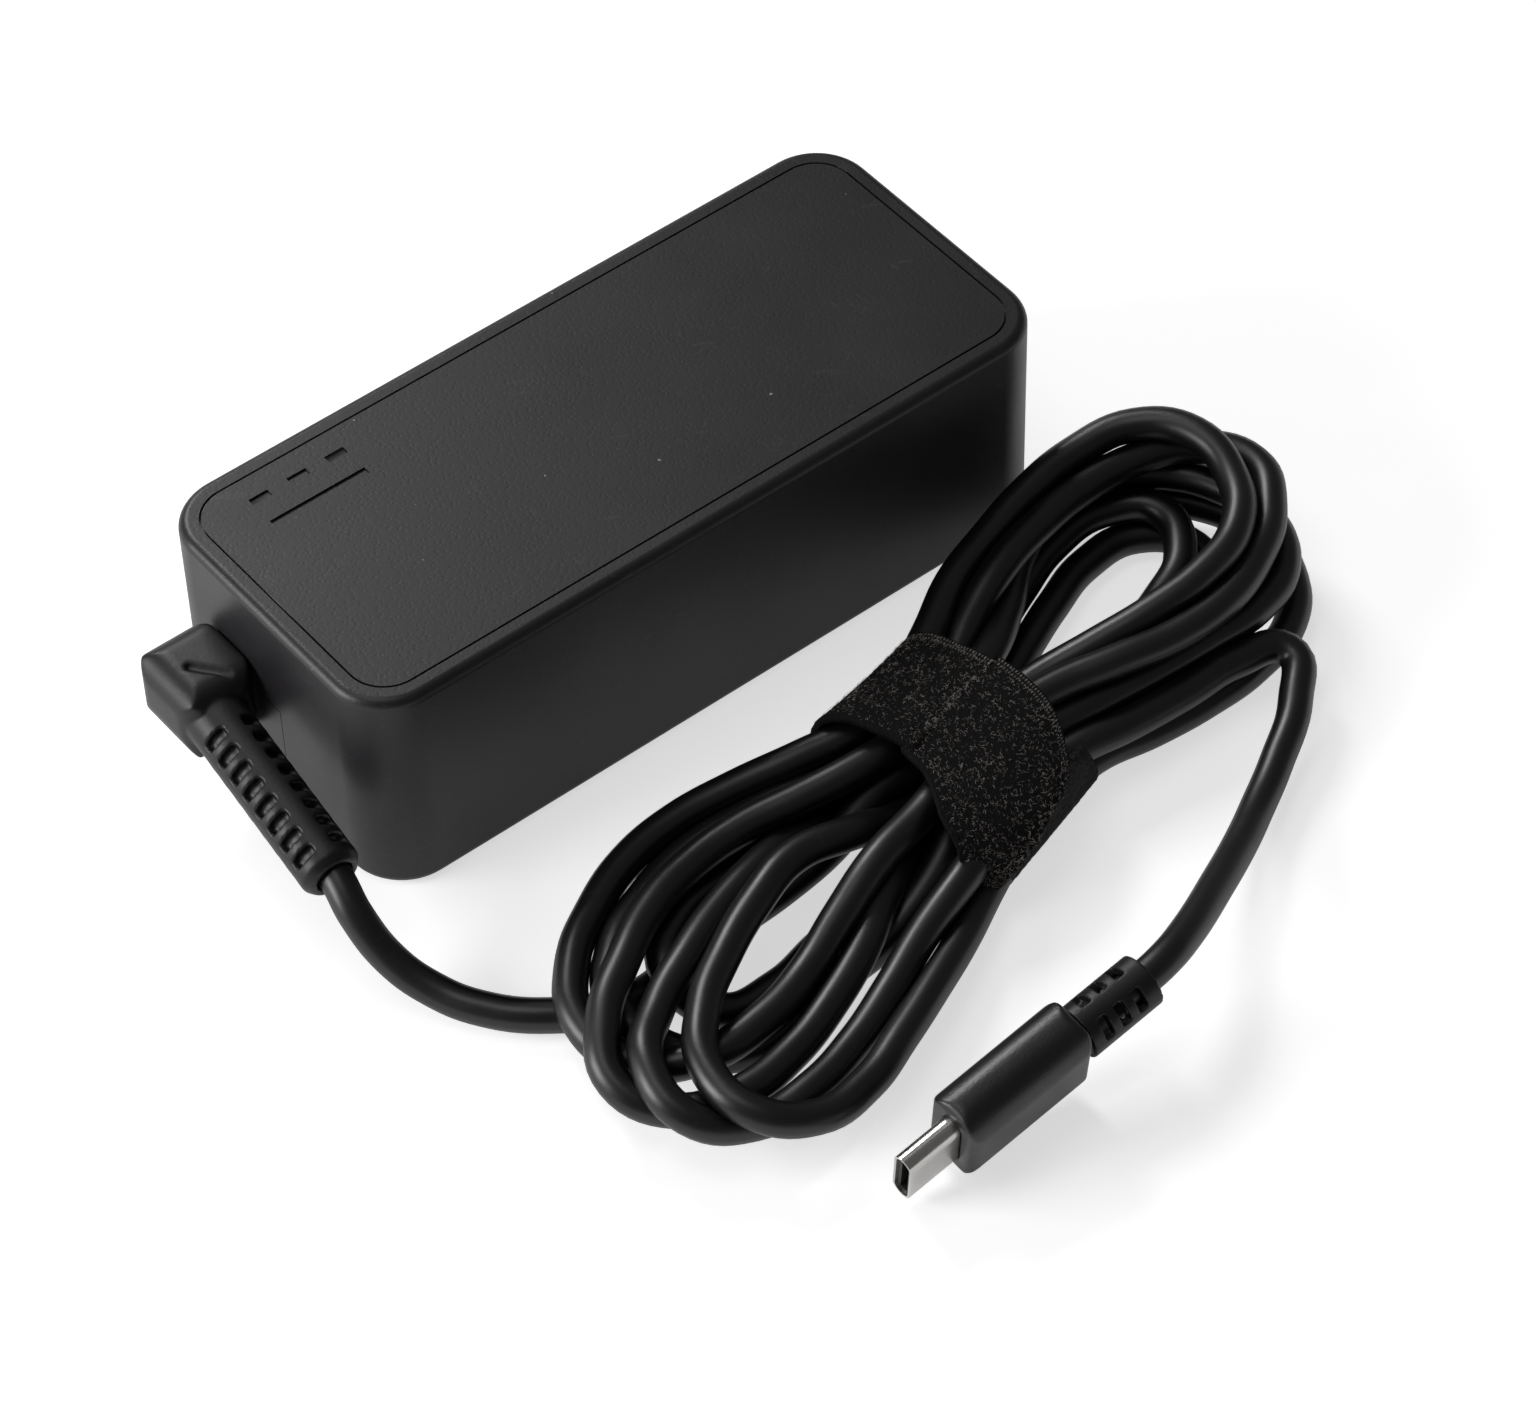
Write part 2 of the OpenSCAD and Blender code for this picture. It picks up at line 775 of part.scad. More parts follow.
// Rows of relief slots, cut a little way into a round sleeve of the given diameter
module relief_slots(d, count, pitch, width, end, depth) {
    for (row = [45, 135, 225, 315], i = [0:count - 1])
        translate([0, 0, end - i * pitch - width])
            rotate([0, 0, row - slot_arc / 2])
                rotate_extrude(angle = slot_arc)
                    translate([d / 2 - depth, 0])
                        square([depth + over, width]);
}

// The elbow, from its inner face out to -X: its underside is rounder than its top
module elbow_block() {
    intersection() {
        translate([-elbow_reach / 2, 0, -elbow / 2])
            slab(elbow_reach, elbow, elbow, elbow_r);
        rotate([90, 0, 0])
            linear_extrude(elbow, center = true)
                translate([0, -elbow / 2])
                    mirror([1, 0])
                        edge_profile(elbow_reach, elbow, elbow_r, elbow_low_r);
        translate([-elbow_reach, 0, 0])
            rotate([90, 0, 90])
                linear_extrude(elbow_reach)
                    translate([0, -elbow / 2])
                        for (side = [0, 1])
                            mirror([side, 0])
                                edge_profile(elbow / 2, elbow, elbow_r, elbow_low_r);
    }
}

module cord_boot() {
    wall_x = -case_l / 2;
    color(black)
        difference() {
            union() {
                translate([wall_x - boot_gap, boot_y, boot_z])
                    elbow_block();
                translate([wall_x - boot_gap - elbow_reach / 2, boot_y, boot_z])
                    bar(elbow_reach / 2 + boot_gap + wall + 2 * fit, neck, neck, 1.8);
                translate([wall_x + wall + fit, boot_y, boot_z])
                    bar(boot_flange.x, boot_flange.y, boot_flange.z, 1.5);
                at_sleeve() {
                    cylinder(h = sleeve_l - end_taper, d = sleeve_d);
                    translate([0, 0, sleeve_l - end_taper])
                        cylinder(h = end_taper, d1 = sleeve_d, d2 = sleeve_d - 1.4 * end_taper);
                }
            }
            at_sleeve() {
                relief_slots(sleeve_d, slots, slot_pitch, slot_w, sleeve_l - last_slot, slot_depth);
                translate([0, 0, sleeve_l - bore_l])
                    cylinder(h = bore_l + over, d = cord_d + 0.4);
            }
            translate([sleeve_at.x + 1.3, boot_y - 2.1, boot_z + elbow / 2 - 0.5])
                rotate([0, 0, -52])
                    slab(mark_slot.x, mark_slot.y, 0.5 + over, 0.45);
        }
}

// Output cord

module cord_lead() {
    color(black)
        tube_along(lead_points, cord_d / 2, cord_sides, 2);
}

module cord_tail() {
    color(black)
        tube_along(tail_points, cord_d / 2, cord_sides, 2);
}

module at_hank() {
    translate([hank_at.x, hank_at.y, 0])
        rotate([0, 0, hank_turn])
            children();
}

// One side of the coil: round far corners that narrow to the strap
module lobe(corners, neck_u, h) {
    linear_extrude(h)
        hull() {
            for (c = corners)
                translate([c.x, c.y])
                    circle(c.z, $fn = 32);
            translate([neck_u - 0.5, -waist_half])
                square([1, 2 * waist_half]);
        }
}

module cord_hank() {
    color(black)
        at_hank() {
            lobe(left_lobe, left_end - 1, left_lobe_h);
            lobe(right_lobe, right_end + 1, right_lobe_h);
            translate([left_end - 1, 0, (waist_h + waist_lift) / 2])
                bar(strap_w + 2, 2 * waist_half, waist_h - waist_lift, waist_r - fit);
        }
}

// A band round the waist with its free end folded down over the front
module cord_strap() {
    inner = [2 * (waist_half + fit), waist_h - waist_lift + 2 * fit];
    outer = inner + [2 * strap_t, 2 * strap_t];
    front = -outer.x / 2;
    color([0.03, 0.03, 0.03])
        at_hank() {
            translate([left_end, 0, outer.y / 2])
                difference() {
                    bar(strap_w, outer.x, outer.y, waist_r + strap_t);
                    translate([-over, 0, 0])
                        bar(strap_w + 2 * over, inner.x, inner.y, waist_r);
                }
            translate([0, front + fit, 0])
                rotate([90, 0, 0])
                    linear_extrude(strap_t)
                        hull() {
                            translate([left_end + 1.5, outer.y - 4])
                                circle(1.4, $fn = 32);
                            translate([right_end - 3.5, outer.y - 4])
                                circle(1.4, $fn = 32);
                            translate([left_end - 3, 3.6])
                                circle(1.8, $fn = 32);
                        }
        }
}

// Plug: local +X runs to the tip, from the back of the grip

module at_plug() {
    translate(plug_at)
        rotate([0, 0, plug_turn])
            rotate([0, plug_dip, 0])
                rotate([plug_roll, 0, 0])
                    children();
}

module plug_relief() {
    relief_slots = 3;
    color(black)
        at_plug()
            difference() {
                union() {
                    translate([-relief_l - neck_gap, 0, 0])
                        rotate([0, 90, 0])
                            cylinder(h = relief_l, d = relief_d);
                    translate([-neck_gap - 0.1, 0, 0])
                        rotate([0, 90, 0])
                            cylinder(h = neck_gap + 0.1, d = neck_d);
                }
                translate([-neck_gap, 0, 0])
                    rotate([0, -90, 0]) {
                        relief_slots(relief_d, relief_slots, 2.35, 1.2, relief_l - 2, 1);
                        translate([0, 0, relief_l - 6])
                            cylinder(h = 6 + over, d = cord_d + 0.4);
                    }
            }
}

module plug_body() {
    cavity = [grip_l - tip_in - 3, tip_w + 0.6, 4];
    color(black)
        at_plug()
            difference() {
                intersection() {
                    bar(grip_l, grip_w, grip_t, grip_t / 2 - 0.1);
                    translate([grip_l / 2, 0, -grip_t])
                        slab(grip_l, grip_w, 2 * grip_t, 1.2);
                    translate([grip_l / 2, 0, 0])
                        rotate([90, 0, 0])
                            linear_extrude(2 * grip_w, center = true)
                                rounded_rect(grip_l, grip_t, 1.2);
                }
                translate([grip_l - tip_in, 0, 0])
                    bar(tip_in + over, tip_w + 0.04, tip_t + 0.04, tip_t / 2);
                translate([2, -cavity.y / 2, -cavity.z / 2])
                    cube([cavity.x + 1, cavity.y, cavity.z]);
            }
}

module plug_shell() {
    color([0.8, 0.8, 0.82])
        at_plug()
            translate([grip_l - tip_in, 0, 0])
                difference() {
                    bar(tip_in + tip_l, tip_w, tip_t, tip_t / 2 - 0.01);
                    translate([-over, 0, 0])
                        bar(tip_in + tip_l + 2 * over, tip_w - 2 * tip_wall, tip_t - 2 * tip_wall,
                            tip_t / 2 - tip_wall - 0.01);
                }
}

module plug_liner() {
    liner_t = tip_t - 2 * tip_wall - 0.04;
    color([0.12, 0.12, 0.13])
        at_plug()
            translate([grip_l - tip_in, 0, 0])
                difference() {
                    bar(liner_l, tip_w - 2 * tip_wall - 0.04, liner_t, liner_t / 2 - 0.01);
                    translate([liner_l - mouth_d, -mouth_w / 2, -mouth_t / 2])
                        cube([mouth_d + over, mouth_w, mouth_t]);
                }
}

module plug_contacts() {
    contact_t = 0.1;
    color([0.9, 0.75, 0.3])
        at_plug()
            for (side = [-1, 1], i = [0:contacts - 1])
                translate([grip_l + tip_l - mouth_d, (i - (contacts - 1) / 2) * contact_pitch,
                    side * (mouth_t - contact_t) / 2])
                    translate([0, -0.12, -contact_t / 2])
                        cube([mouth_d - 1.4, 0.24, contact_t]);
}

module plug_latches() {
    color(steel)
        at_plug()
            for (side = [-1, 1])
                translate([grip_l + tip_l - mouth_d, side * (mouth_w / 2 - 0.15), 0])
                    translate([0, -0.15, -0.25])
                        cube([mouth_d - 1.8, 0.3, 0.5]);
}

module plug_board() {
    board = [grip_l - tip_in - 3, tip_w - 0.4, 0.8];
    color([0.1, 0.32, 0.14])
        at_plug()
            translate([2.6, -board.y / 2, -board.z / 2])
                cube([board.x - 0.2, board.y, board.z]);
}

case_shell();
base_plate();
inlet_body();
inlet_pins();
main_board();
fuse();
x_capacitor();
choke_core();
choke_windings();
bridge_rectifier();
bulk_capacitors();
primary_heatsink();
primary_switch();
heatsink_screw();
transformer_core();
transformer_bobbin();
transformer_winding();
y_capacitor();
optocoupler();
control_chips();
output_switch();
output_capacitors();
thermal_pad();
insulation_sheet();
heat_spreader();
output_wires();
cord_boot();
cord_lead();
cord_hank();
cord_tail();
cord_strap();
plug_relief();
plug_body();
plug_shell();
plug_liner();
plug_contacts();
plug_latches();
plug_board();
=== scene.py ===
"""Looks of a laptop power adapter.

A moulded case with its circuit inside, an angled cord boot, a coiled output cord held by a
hook-and-loop strap, and a small flat plug. Everything is in metres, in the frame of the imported
model.
"""

import logging
import math
import random
from collections.abc import Callable, Sequence
from dataclasses import dataclass, field
from enum import Enum

import bmesh
import bpy
import numpy as np
from mathutils import Matrix, Vector


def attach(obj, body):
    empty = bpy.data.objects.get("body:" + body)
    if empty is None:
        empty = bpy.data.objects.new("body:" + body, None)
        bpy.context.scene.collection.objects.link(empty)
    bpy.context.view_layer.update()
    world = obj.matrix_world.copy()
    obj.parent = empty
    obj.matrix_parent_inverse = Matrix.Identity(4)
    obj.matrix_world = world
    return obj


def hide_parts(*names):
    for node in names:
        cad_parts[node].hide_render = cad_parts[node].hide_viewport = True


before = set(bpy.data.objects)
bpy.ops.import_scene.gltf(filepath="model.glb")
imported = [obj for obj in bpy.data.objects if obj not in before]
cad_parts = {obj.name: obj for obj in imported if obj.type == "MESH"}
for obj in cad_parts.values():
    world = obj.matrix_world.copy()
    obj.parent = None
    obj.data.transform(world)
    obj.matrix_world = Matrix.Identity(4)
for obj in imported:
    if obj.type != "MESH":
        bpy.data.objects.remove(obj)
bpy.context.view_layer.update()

BODY = "adapter"
MM = 0.001

Colour = tuple[float, float, float]
Point = tuple[float, float, float]
Node = bpy.types.Node
Socket = bpy.types.NodeSocket

TINY = 1e-6
SCENE_MIDDLE = (0.0, -0.03, 0.0)

# The Mix node's factor and its two colours, and its mixed colour
MIX_INPUTS = (0, 6, 7)
MIX_RESULT = 2

log = logging.getLogger("adapter")


def linear(colour: Colour) -> tuple[float, float, float, float]:
    """Turn a display colour into the linear one a shader takes.

    Args:
        colour: red, green and blue from 0 to 255.

    Returns:
        The same colour, linear, with full alpha.
    """
    parts = [c / 255 for c in colour]
    red, green, blue = (c / 12.92 if c <= 0.04045 else ((c + 0.055) / 1.055) ** 2.4 for c in parts)
    return red, green, blue, 1.0


def between(value: float, table: Sequence[tuple[float, float]]) -> float:
    """Read a table of (place, amount) rows at a place, straight between its rows.

    Args:
        value: the place.
        table: rows in rising order of place.

    Returns:
        The amount there.
    """
    if value <= table[0][0]:
        return table[0][1]
    for (x0, y0), (x1, y1) in zip(table, table[1:]):
        if value <= x1:
            return y0 + (y1 - y0) * (value - x0) / (x1 - x0)
    return table[-1][1]


def through(points: Sequence[Vector], place: float) -> Vector:
    """Read a smooth line through points.

    Args:
        points: what the line passes through.
        place: from 0 at the first point to len(points) - 1 at the last.

    Returns:
        The point of the line there.
    """
    last = len(points) - 1
    i = min(max(int(place), 0), last - 1)
    t = place - i
    a, b, c, d = points[max(i - 1, 0)], points[i], points[i + 1], points[min(i + 2, last)]
    return 0.5 * (2 * b + (c - a) * t + (2 * a - 5 * b + 4 * c - d) * t * t
                  + (3 * b - a - 3 * c + d) * t * t * t)


# Shader effects


class Effect(Enum):
    """The shared effects that the finishes place in their materials."""

    GRAIN = "fine_grain"
    MOTTLE = "slow_mottle"
    DUST = "dust_specks"
    SCUFF = "hair_scuffs"
    BRUSH = "brushed_lines"
    WEAVE = "plain_weave"
    BANDS = "wound_bands"


class Graph:
    """A node tree with short calls that add its nodes and join them."""

    def __init__(self, tree: bpy.types.NodeTree) -> None:
        """Start from an empty tree."""
        self.tree = tree
        tree.nodes.clear()

    def add(self, kind: str, **settings: object) -> Node:
        """Add a shader node.

        Args:
            kind: its type, without the ShaderNode prefix.
            **settings: properties of the node.

        Returns:
            The node.
        """
        node = self.tree.nodes.new("ShaderNode" + kind)
        for name, value in settings.items():
            setattr(node, name, value)
        return node

    def _put(self, socket: Socket, value: object) -> None:
        """Link a socket to another node's output, or set it to a constant."""
        if isinstance(value, Socket):
            self.tree.links.new(value, socket)
        else:
            socket.default_value = value

    def feed(self, node: Node, **inputs: object) -> Node:
        """Set a node's sockets, each to a constant or to another node's output.

        Args:
            node: the node.
            **inputs: values by socket name, with underscores for spaces.

        Returns:
            The node.
        """
        for name, value in inputs.items():
            self._put(node.inputs[name.replace("_", " ")], value)
        return node

    def math(self, operation: str, *values: object, clamp: bool = False) -> Socket:
        """Add a Math node.

        Args:
            operation: what it does.
            *values: numbers or outputs for its inputs, in order.
            clamp: whether the result stays from 0 to 1.

        Returns:
            Its output.
        """
        node = self.add("Math", operation=operation, use_clamp=clamp)
        for socket, value in zip(node.inputs, values):
            self._put(socket, value)
        return node.outputs[0]

    def scale(self, vector: Socket, by: object) -> Socket:
        """Scale a vector by a number or by another output."""
        node = self.add("VectorMath", operation="SCALE")
        return self.feed(node, Vector=vector, Scale=by).outputs["Vector"]

    def vectors(self, operation: str, *values: object) -> Socket:
        """Add a Vector Math node that works part by part, and give its vector."""
        node = self.add("VectorMath", operation=operation)
        for socket, value in zip(node.inputs, values):
            self._put(socket, value)
        return node.outputs["Vector"]

    def parts(self, vector: Socket) -> tuple[Socket, ...]:
        """Split a vector into its X, Y and Z outputs."""
        return tuple(self.feed(self.add("SeparateXYZ"), Vector=vector).outputs)

    def noise(self, vector: Socket, scale: float, detail: float = 2.0,
              rough: float = 0.5) -> Socket:
        """Add a noise texture and give its value, about 0.5 on average."""
        node = self.add("TexNoise")
        return self.feed(node, Vector=vector, Scale=scale, Detail=detail,
                         Roughness=rough).outputs["Fac"]

    def ramp(self, value: Socket, low: object, high: object, to_low: object = 0.0,
             to_high: object = 1.0) -> Socket:
        """Map a value from low..high to to_low..to_high, held at both ends."""
        node = self.add("MapRange")
        return self.feed(node, Value=value, From_Min=low, From_Max=high, To_Min=to_low,
                         To_Max=to_high).outputs["Result"]

    def blend(self, kind: str, factor: object, one: object, other: object) -> Socket:
        """Mix two colours.

        Args:
            kind: the blend type.
            factor: how much of the second one.
            one: the first colour.
            other: the second colour.

        Returns:
            The mixed colour.
        """
        node = self.add("Mix", data_type="RGBA", blend_type=kind)
        for index, value in zip(MIX_INPUTS, (factor, one, other)):
            self._put(node.inputs[index], value)
        return node.outputs[MIX_RESULT]

    def place(self, group: bpy.types.NodeTree, **inputs: object) -> Node:
        """Place a shader group and set its inputs."""
        node = self.add("Group")
        node.node_tree = group
        return self.feed(node, **inputs)


def seen_rays(graph: Graph) -> tuple[bpy.types.bpy_prop_collection, Socket]:
    """Add a Light Path node.

    Args:
        graph: the nodes it joins.

    Returns:
        Its outputs, and one that is 1 where the camera sees the surface, also through glass.
    """
    rays = graph.add("LightPath").outputs
    return rays, graph.math("MAXIMUM", rays["Is Camera Ray"], rays["Is Transmission Ray"])


def surface(name: str) -> tuple[bpy.types.Material, Graph, Node]:
    """Start a material.

    Args:
        name: its name.

    Returns:
        The material, its nodes, and its shader, which is joined to the output.
    """
    material = bpy.data.materials.new(name)
    material.use_nodes = True
    graph = Graph(material.node_tree)
    shader = graph.add("BsdfPrincipled")
    graph.feed(graph.add("OutputMaterial"), Surface=shader.outputs["BSDF"])
    return material, graph, shader


def unit_place(graph: Graph, source: Node, size: str = "Size", unit: float = 1.0) -> Socket:
    """Scale the place that a group is given, so that its size becomes one unit.

    Args:
        graph: the group's nodes.
        source: the group's input.
        size: which of its inputs is the size.
        unit: what that size becomes.

    Returns:
        The scaled place.
    """
    return graph.scale(source.outputs["Vector"], graph.math("DIVIDE", unit, source.outputs[size]))


def tone(graph: Graph, source: Node, value: Socket) -> Socket:
    """Turn a value from 0 to 1 into a tone about 1, as strong as the group's amount says.

    Args:
        graph: the group's nodes.
        source: the group's input.
        value: the value.

    Returns:
        The tone.
    """
    swing = graph.math("MULTIPLY", graph.math("SUBTRACT", value, 0.5),
                       graph.math("MULTIPLY", source.outputs["Amount"], 2.0))
    return graph.math("ADD", swing, 1.0)


class Effects:
    """Makes each shared shader group once and hands it out."""

    def __init__(self) -> None:
        """Start with none made."""
        self._made: dict[Effect, bpy.types.NodeTree] = {}
        self._makers: dict[Effect, Callable[[Graph, Node, Node], None]] = {
            Effect.GRAIN: self._grain, Effect.MOTTLE: self._mottle, Effect.DUST: self._dust,
            Effect.SCUFF: self._scuff, Effect.BRUSH: self._brush, Effect.WEAVE: self._weave,
            Effect.BANDS: self._bands,
        }
        self._sockets: dict[Effect, tuple[dict[str, float], tuple[str, ...]]] = {
            Effect.GRAIN: ({"Size": MM}, ("Height",)),
            Effect.MOTTLE: ({"Size": MM, "Amount": 0.1}, ("Tone", "Mask")),
            Effect.DUST: ({"Spacing": MM, "Share": 0.1}, ("Mask",)),
            Effect.SCUFF: ({"Size": MM, "Amount": 0.1}, ("Mask",)),
            Effect.BRUSH: ({"Size": MM, "Amount": 0.1}, ("Height", "Tone")),
            Effect.WEAVE: ({"Pitch": MM}, ("Height", "Mask")),
            Effect.BANDS: ({"Pitch": MM}, ("Height", "Mask")),
        }

    def get(self, effect: Effect) -> bpy.types.NodeTree:
        """Give an effect's group, made on its first use.

        Args:
            effect: which one.

        Returns:
            Its node group.
        """
        if effect not in self._made:
            tree = bpy.data.node_groups.new(effect.value, "ShaderNodeTree")
            numbers, results = self._sockets[effect]
            tree.interface.new_socket("Vector", in_out="INPUT", socket_type="NodeSocketVector")
            for name, value in numbers.items():
                socket = tree.interface.new_socket(name, in_out="INPUT",
                                                   socket_type="NodeSocketFloat")
                socket.default_value = value
            for name in results:
                tree.interface.new_socket(name, in_out="OUTPUT", socket_type="NodeSocketFloat")
            graph = Graph(tree)
            source = tree.nodes.new("NodeGroupInput")
            result = tree.nodes.new("NodeGroupOutput")
            self._makers[effect](graph, source, result)
            self._made[effect] = tree
        return self._made[effect]

    def _grain(self, graph: Graph, source: Node, result: Node) -> None:
        """Spark-eroded mould grain: fine noise with small pits."""
        place = unit_place(graph, source)
        fine = graph.noise(place, 1.0, 3.0, 0.62)
        cells = graph.feed(graph.add("TexVoronoi"), Vector=place, Scale=0.55).outputs["Distance"]
        pits = graph.ramp(cells, 0.0, 0.45, 0.0, 0.5)
        graph.feed(result, Height=graph.math("ADD", graph.math("MULTIPLY", fine, 0.5), pits))

    def _mottle(self, graph: Graph, source: Node, result: Node) -> None:
        """Slow change of tone, as handling and light wear leave it."""
        value = graph.ramp(graph.noise(unit_place(graph, source), 1.0, 4.0, 0.55), 0.3, 0.7)
        graph.feed(result, Tone=tone(graph, source, value), Mask=value)

    def _dust(self, graph: Graph, source: Node, result: Node) -> None:
        """Single specks of dust and lint on faces that look up."""
        place = unit_place(graph, source, "Spacing")
        swirl = graph.feed(graph.add("TexNoise"), Vector=place, Scale=9.0, Detail=1.0)
        bent = graph.vectors("ADD", place, graph.scale(swirl.outputs["Color"], 0.12))
        cells = graph.feed(graph.add("TexVoronoi"), Vector=bent, Scale=1.0, Randomness=1.0)
        chance, size, _ = graph.parts(cells.outputs["Color"])
        here = graph.math("LESS_THAN", chance, source.outputs["Share"])
        reach = graph.ramp(size, 0.0, 1.0, 0.025, 0.08)
        speck = graph.math("LESS_THAN", cells.outputs["Distance"], reach)
        up = graph.ramp(graph.parts(graph.add("NewGeometry").outputs["Normal"])[2], 0.1, 0.6)
        graph.feed(result, Mask=graph.math("MULTIPLY", graph.math("MULTIPLY", here, speck), up))

    def _scuff(self, graph: Graph, source: Node, result: Node) -> None:
        """Sparse hair-thin marks in a few directions."""
        place = unit_place(graph, source)
        found: float | Socket = 0.0
        for turn, stretch in ((0.4, 14.0), (1.7, 9.0), (2.6, 18.0)):
            mapped = graph.feed(graph.add("Mapping", vector_type="TEXTURE"), Vector=place,
                                Rotation=(0.3 * turn, 0.2, turn), Scale=(stretch, 1.0, 1.0))
            line = graph.ramp(graph.noise(mapped.outputs["Vector"], 3.0, 1.0, 0.4), 0.69, 0.73)
            found = graph.math("MAXIMUM", found, line)
        broken = graph.ramp(graph.noise(place, 0.35, 2.0), 0.5, 0.62)
        share = graph.math("MULTIPLY", found, broken)
        graph.feed(result, Mask=graph.math("MULTIPLY", share, source.outputs["Amount"]))

    def _brush(self, graph: Graph, source: Node, result: Node) -> None:
        """Drawn lines along X of the given vector."""
        drawn = graph.vectors("MULTIPLY", unit_place(graph, source), (0.03, 1.0, 1.0))
        lines = graph.noise(drawn, 1.0, 3.0, 0.6)
        graph.feed(result, Height=lines, Tone=tone(graph, source, lines))

    def _weave(self, graph: Graph, source: Node, result: Node) -> None:
        """Plain weave: threads that pass over and under each other in X and Y."""
        waves = graph.parts(unit_place(graph, source, "Pitch", math.pi))[:2]
        across, along = (graph.math("SINE", wave) for wave in waves)
        side = graph.ramp(graph.math("MULTIPLY", across, along), -0.2, 0.2)
        warp = graph.math("MULTIPLY", graph.math("ABSOLUTE", across), side)
        weft = graph.math("MULTIPLY", graph.math("ABSOLUTE", along),
                          graph.math("SUBTRACT", 1.0, side))
        graph.feed(result, Height=graph.math("ADD", warp, weft), Mask=side)

    def _bands(self, graph: Graph, source: Node, result: Node) -> None:
        """Round turns laid side by side along X of the given vector. Its mask falls to 0 in the
        narrow grooves between turns, where finishes put painted shade.
        """
        wave = graph.parts(unit_place(graph, source, "Pitch", math.pi))[0]
        turn = graph.math("ABSOLUTE", graph.math("SINE", wave))
        graph.feed(result, Height=graph.math("SQRT", turn), Mask=graph.ramp(turn, 0.0, 0.35))


# Finishes


class Pattern(Enum):
    """What a finish shows on top of its grain."""

    PLAIN = "plain"
    BRUSHED = "brushed"
    WOVEN = "woven"
    WOUND = "wound"
    SPECKLED = "speckled"


DUST_COLOUR = (132, 130, 130)
DUST_ROUGHER = 0.4
SCUFF_SIZE = 2.0
SCUFF_LIGHTER = 60.0
COAT_ROUGHNESS = 0.12
BRUSH_AMOUNT = 0.12
SPECKLE_EDGE = (0.52, 0.6)


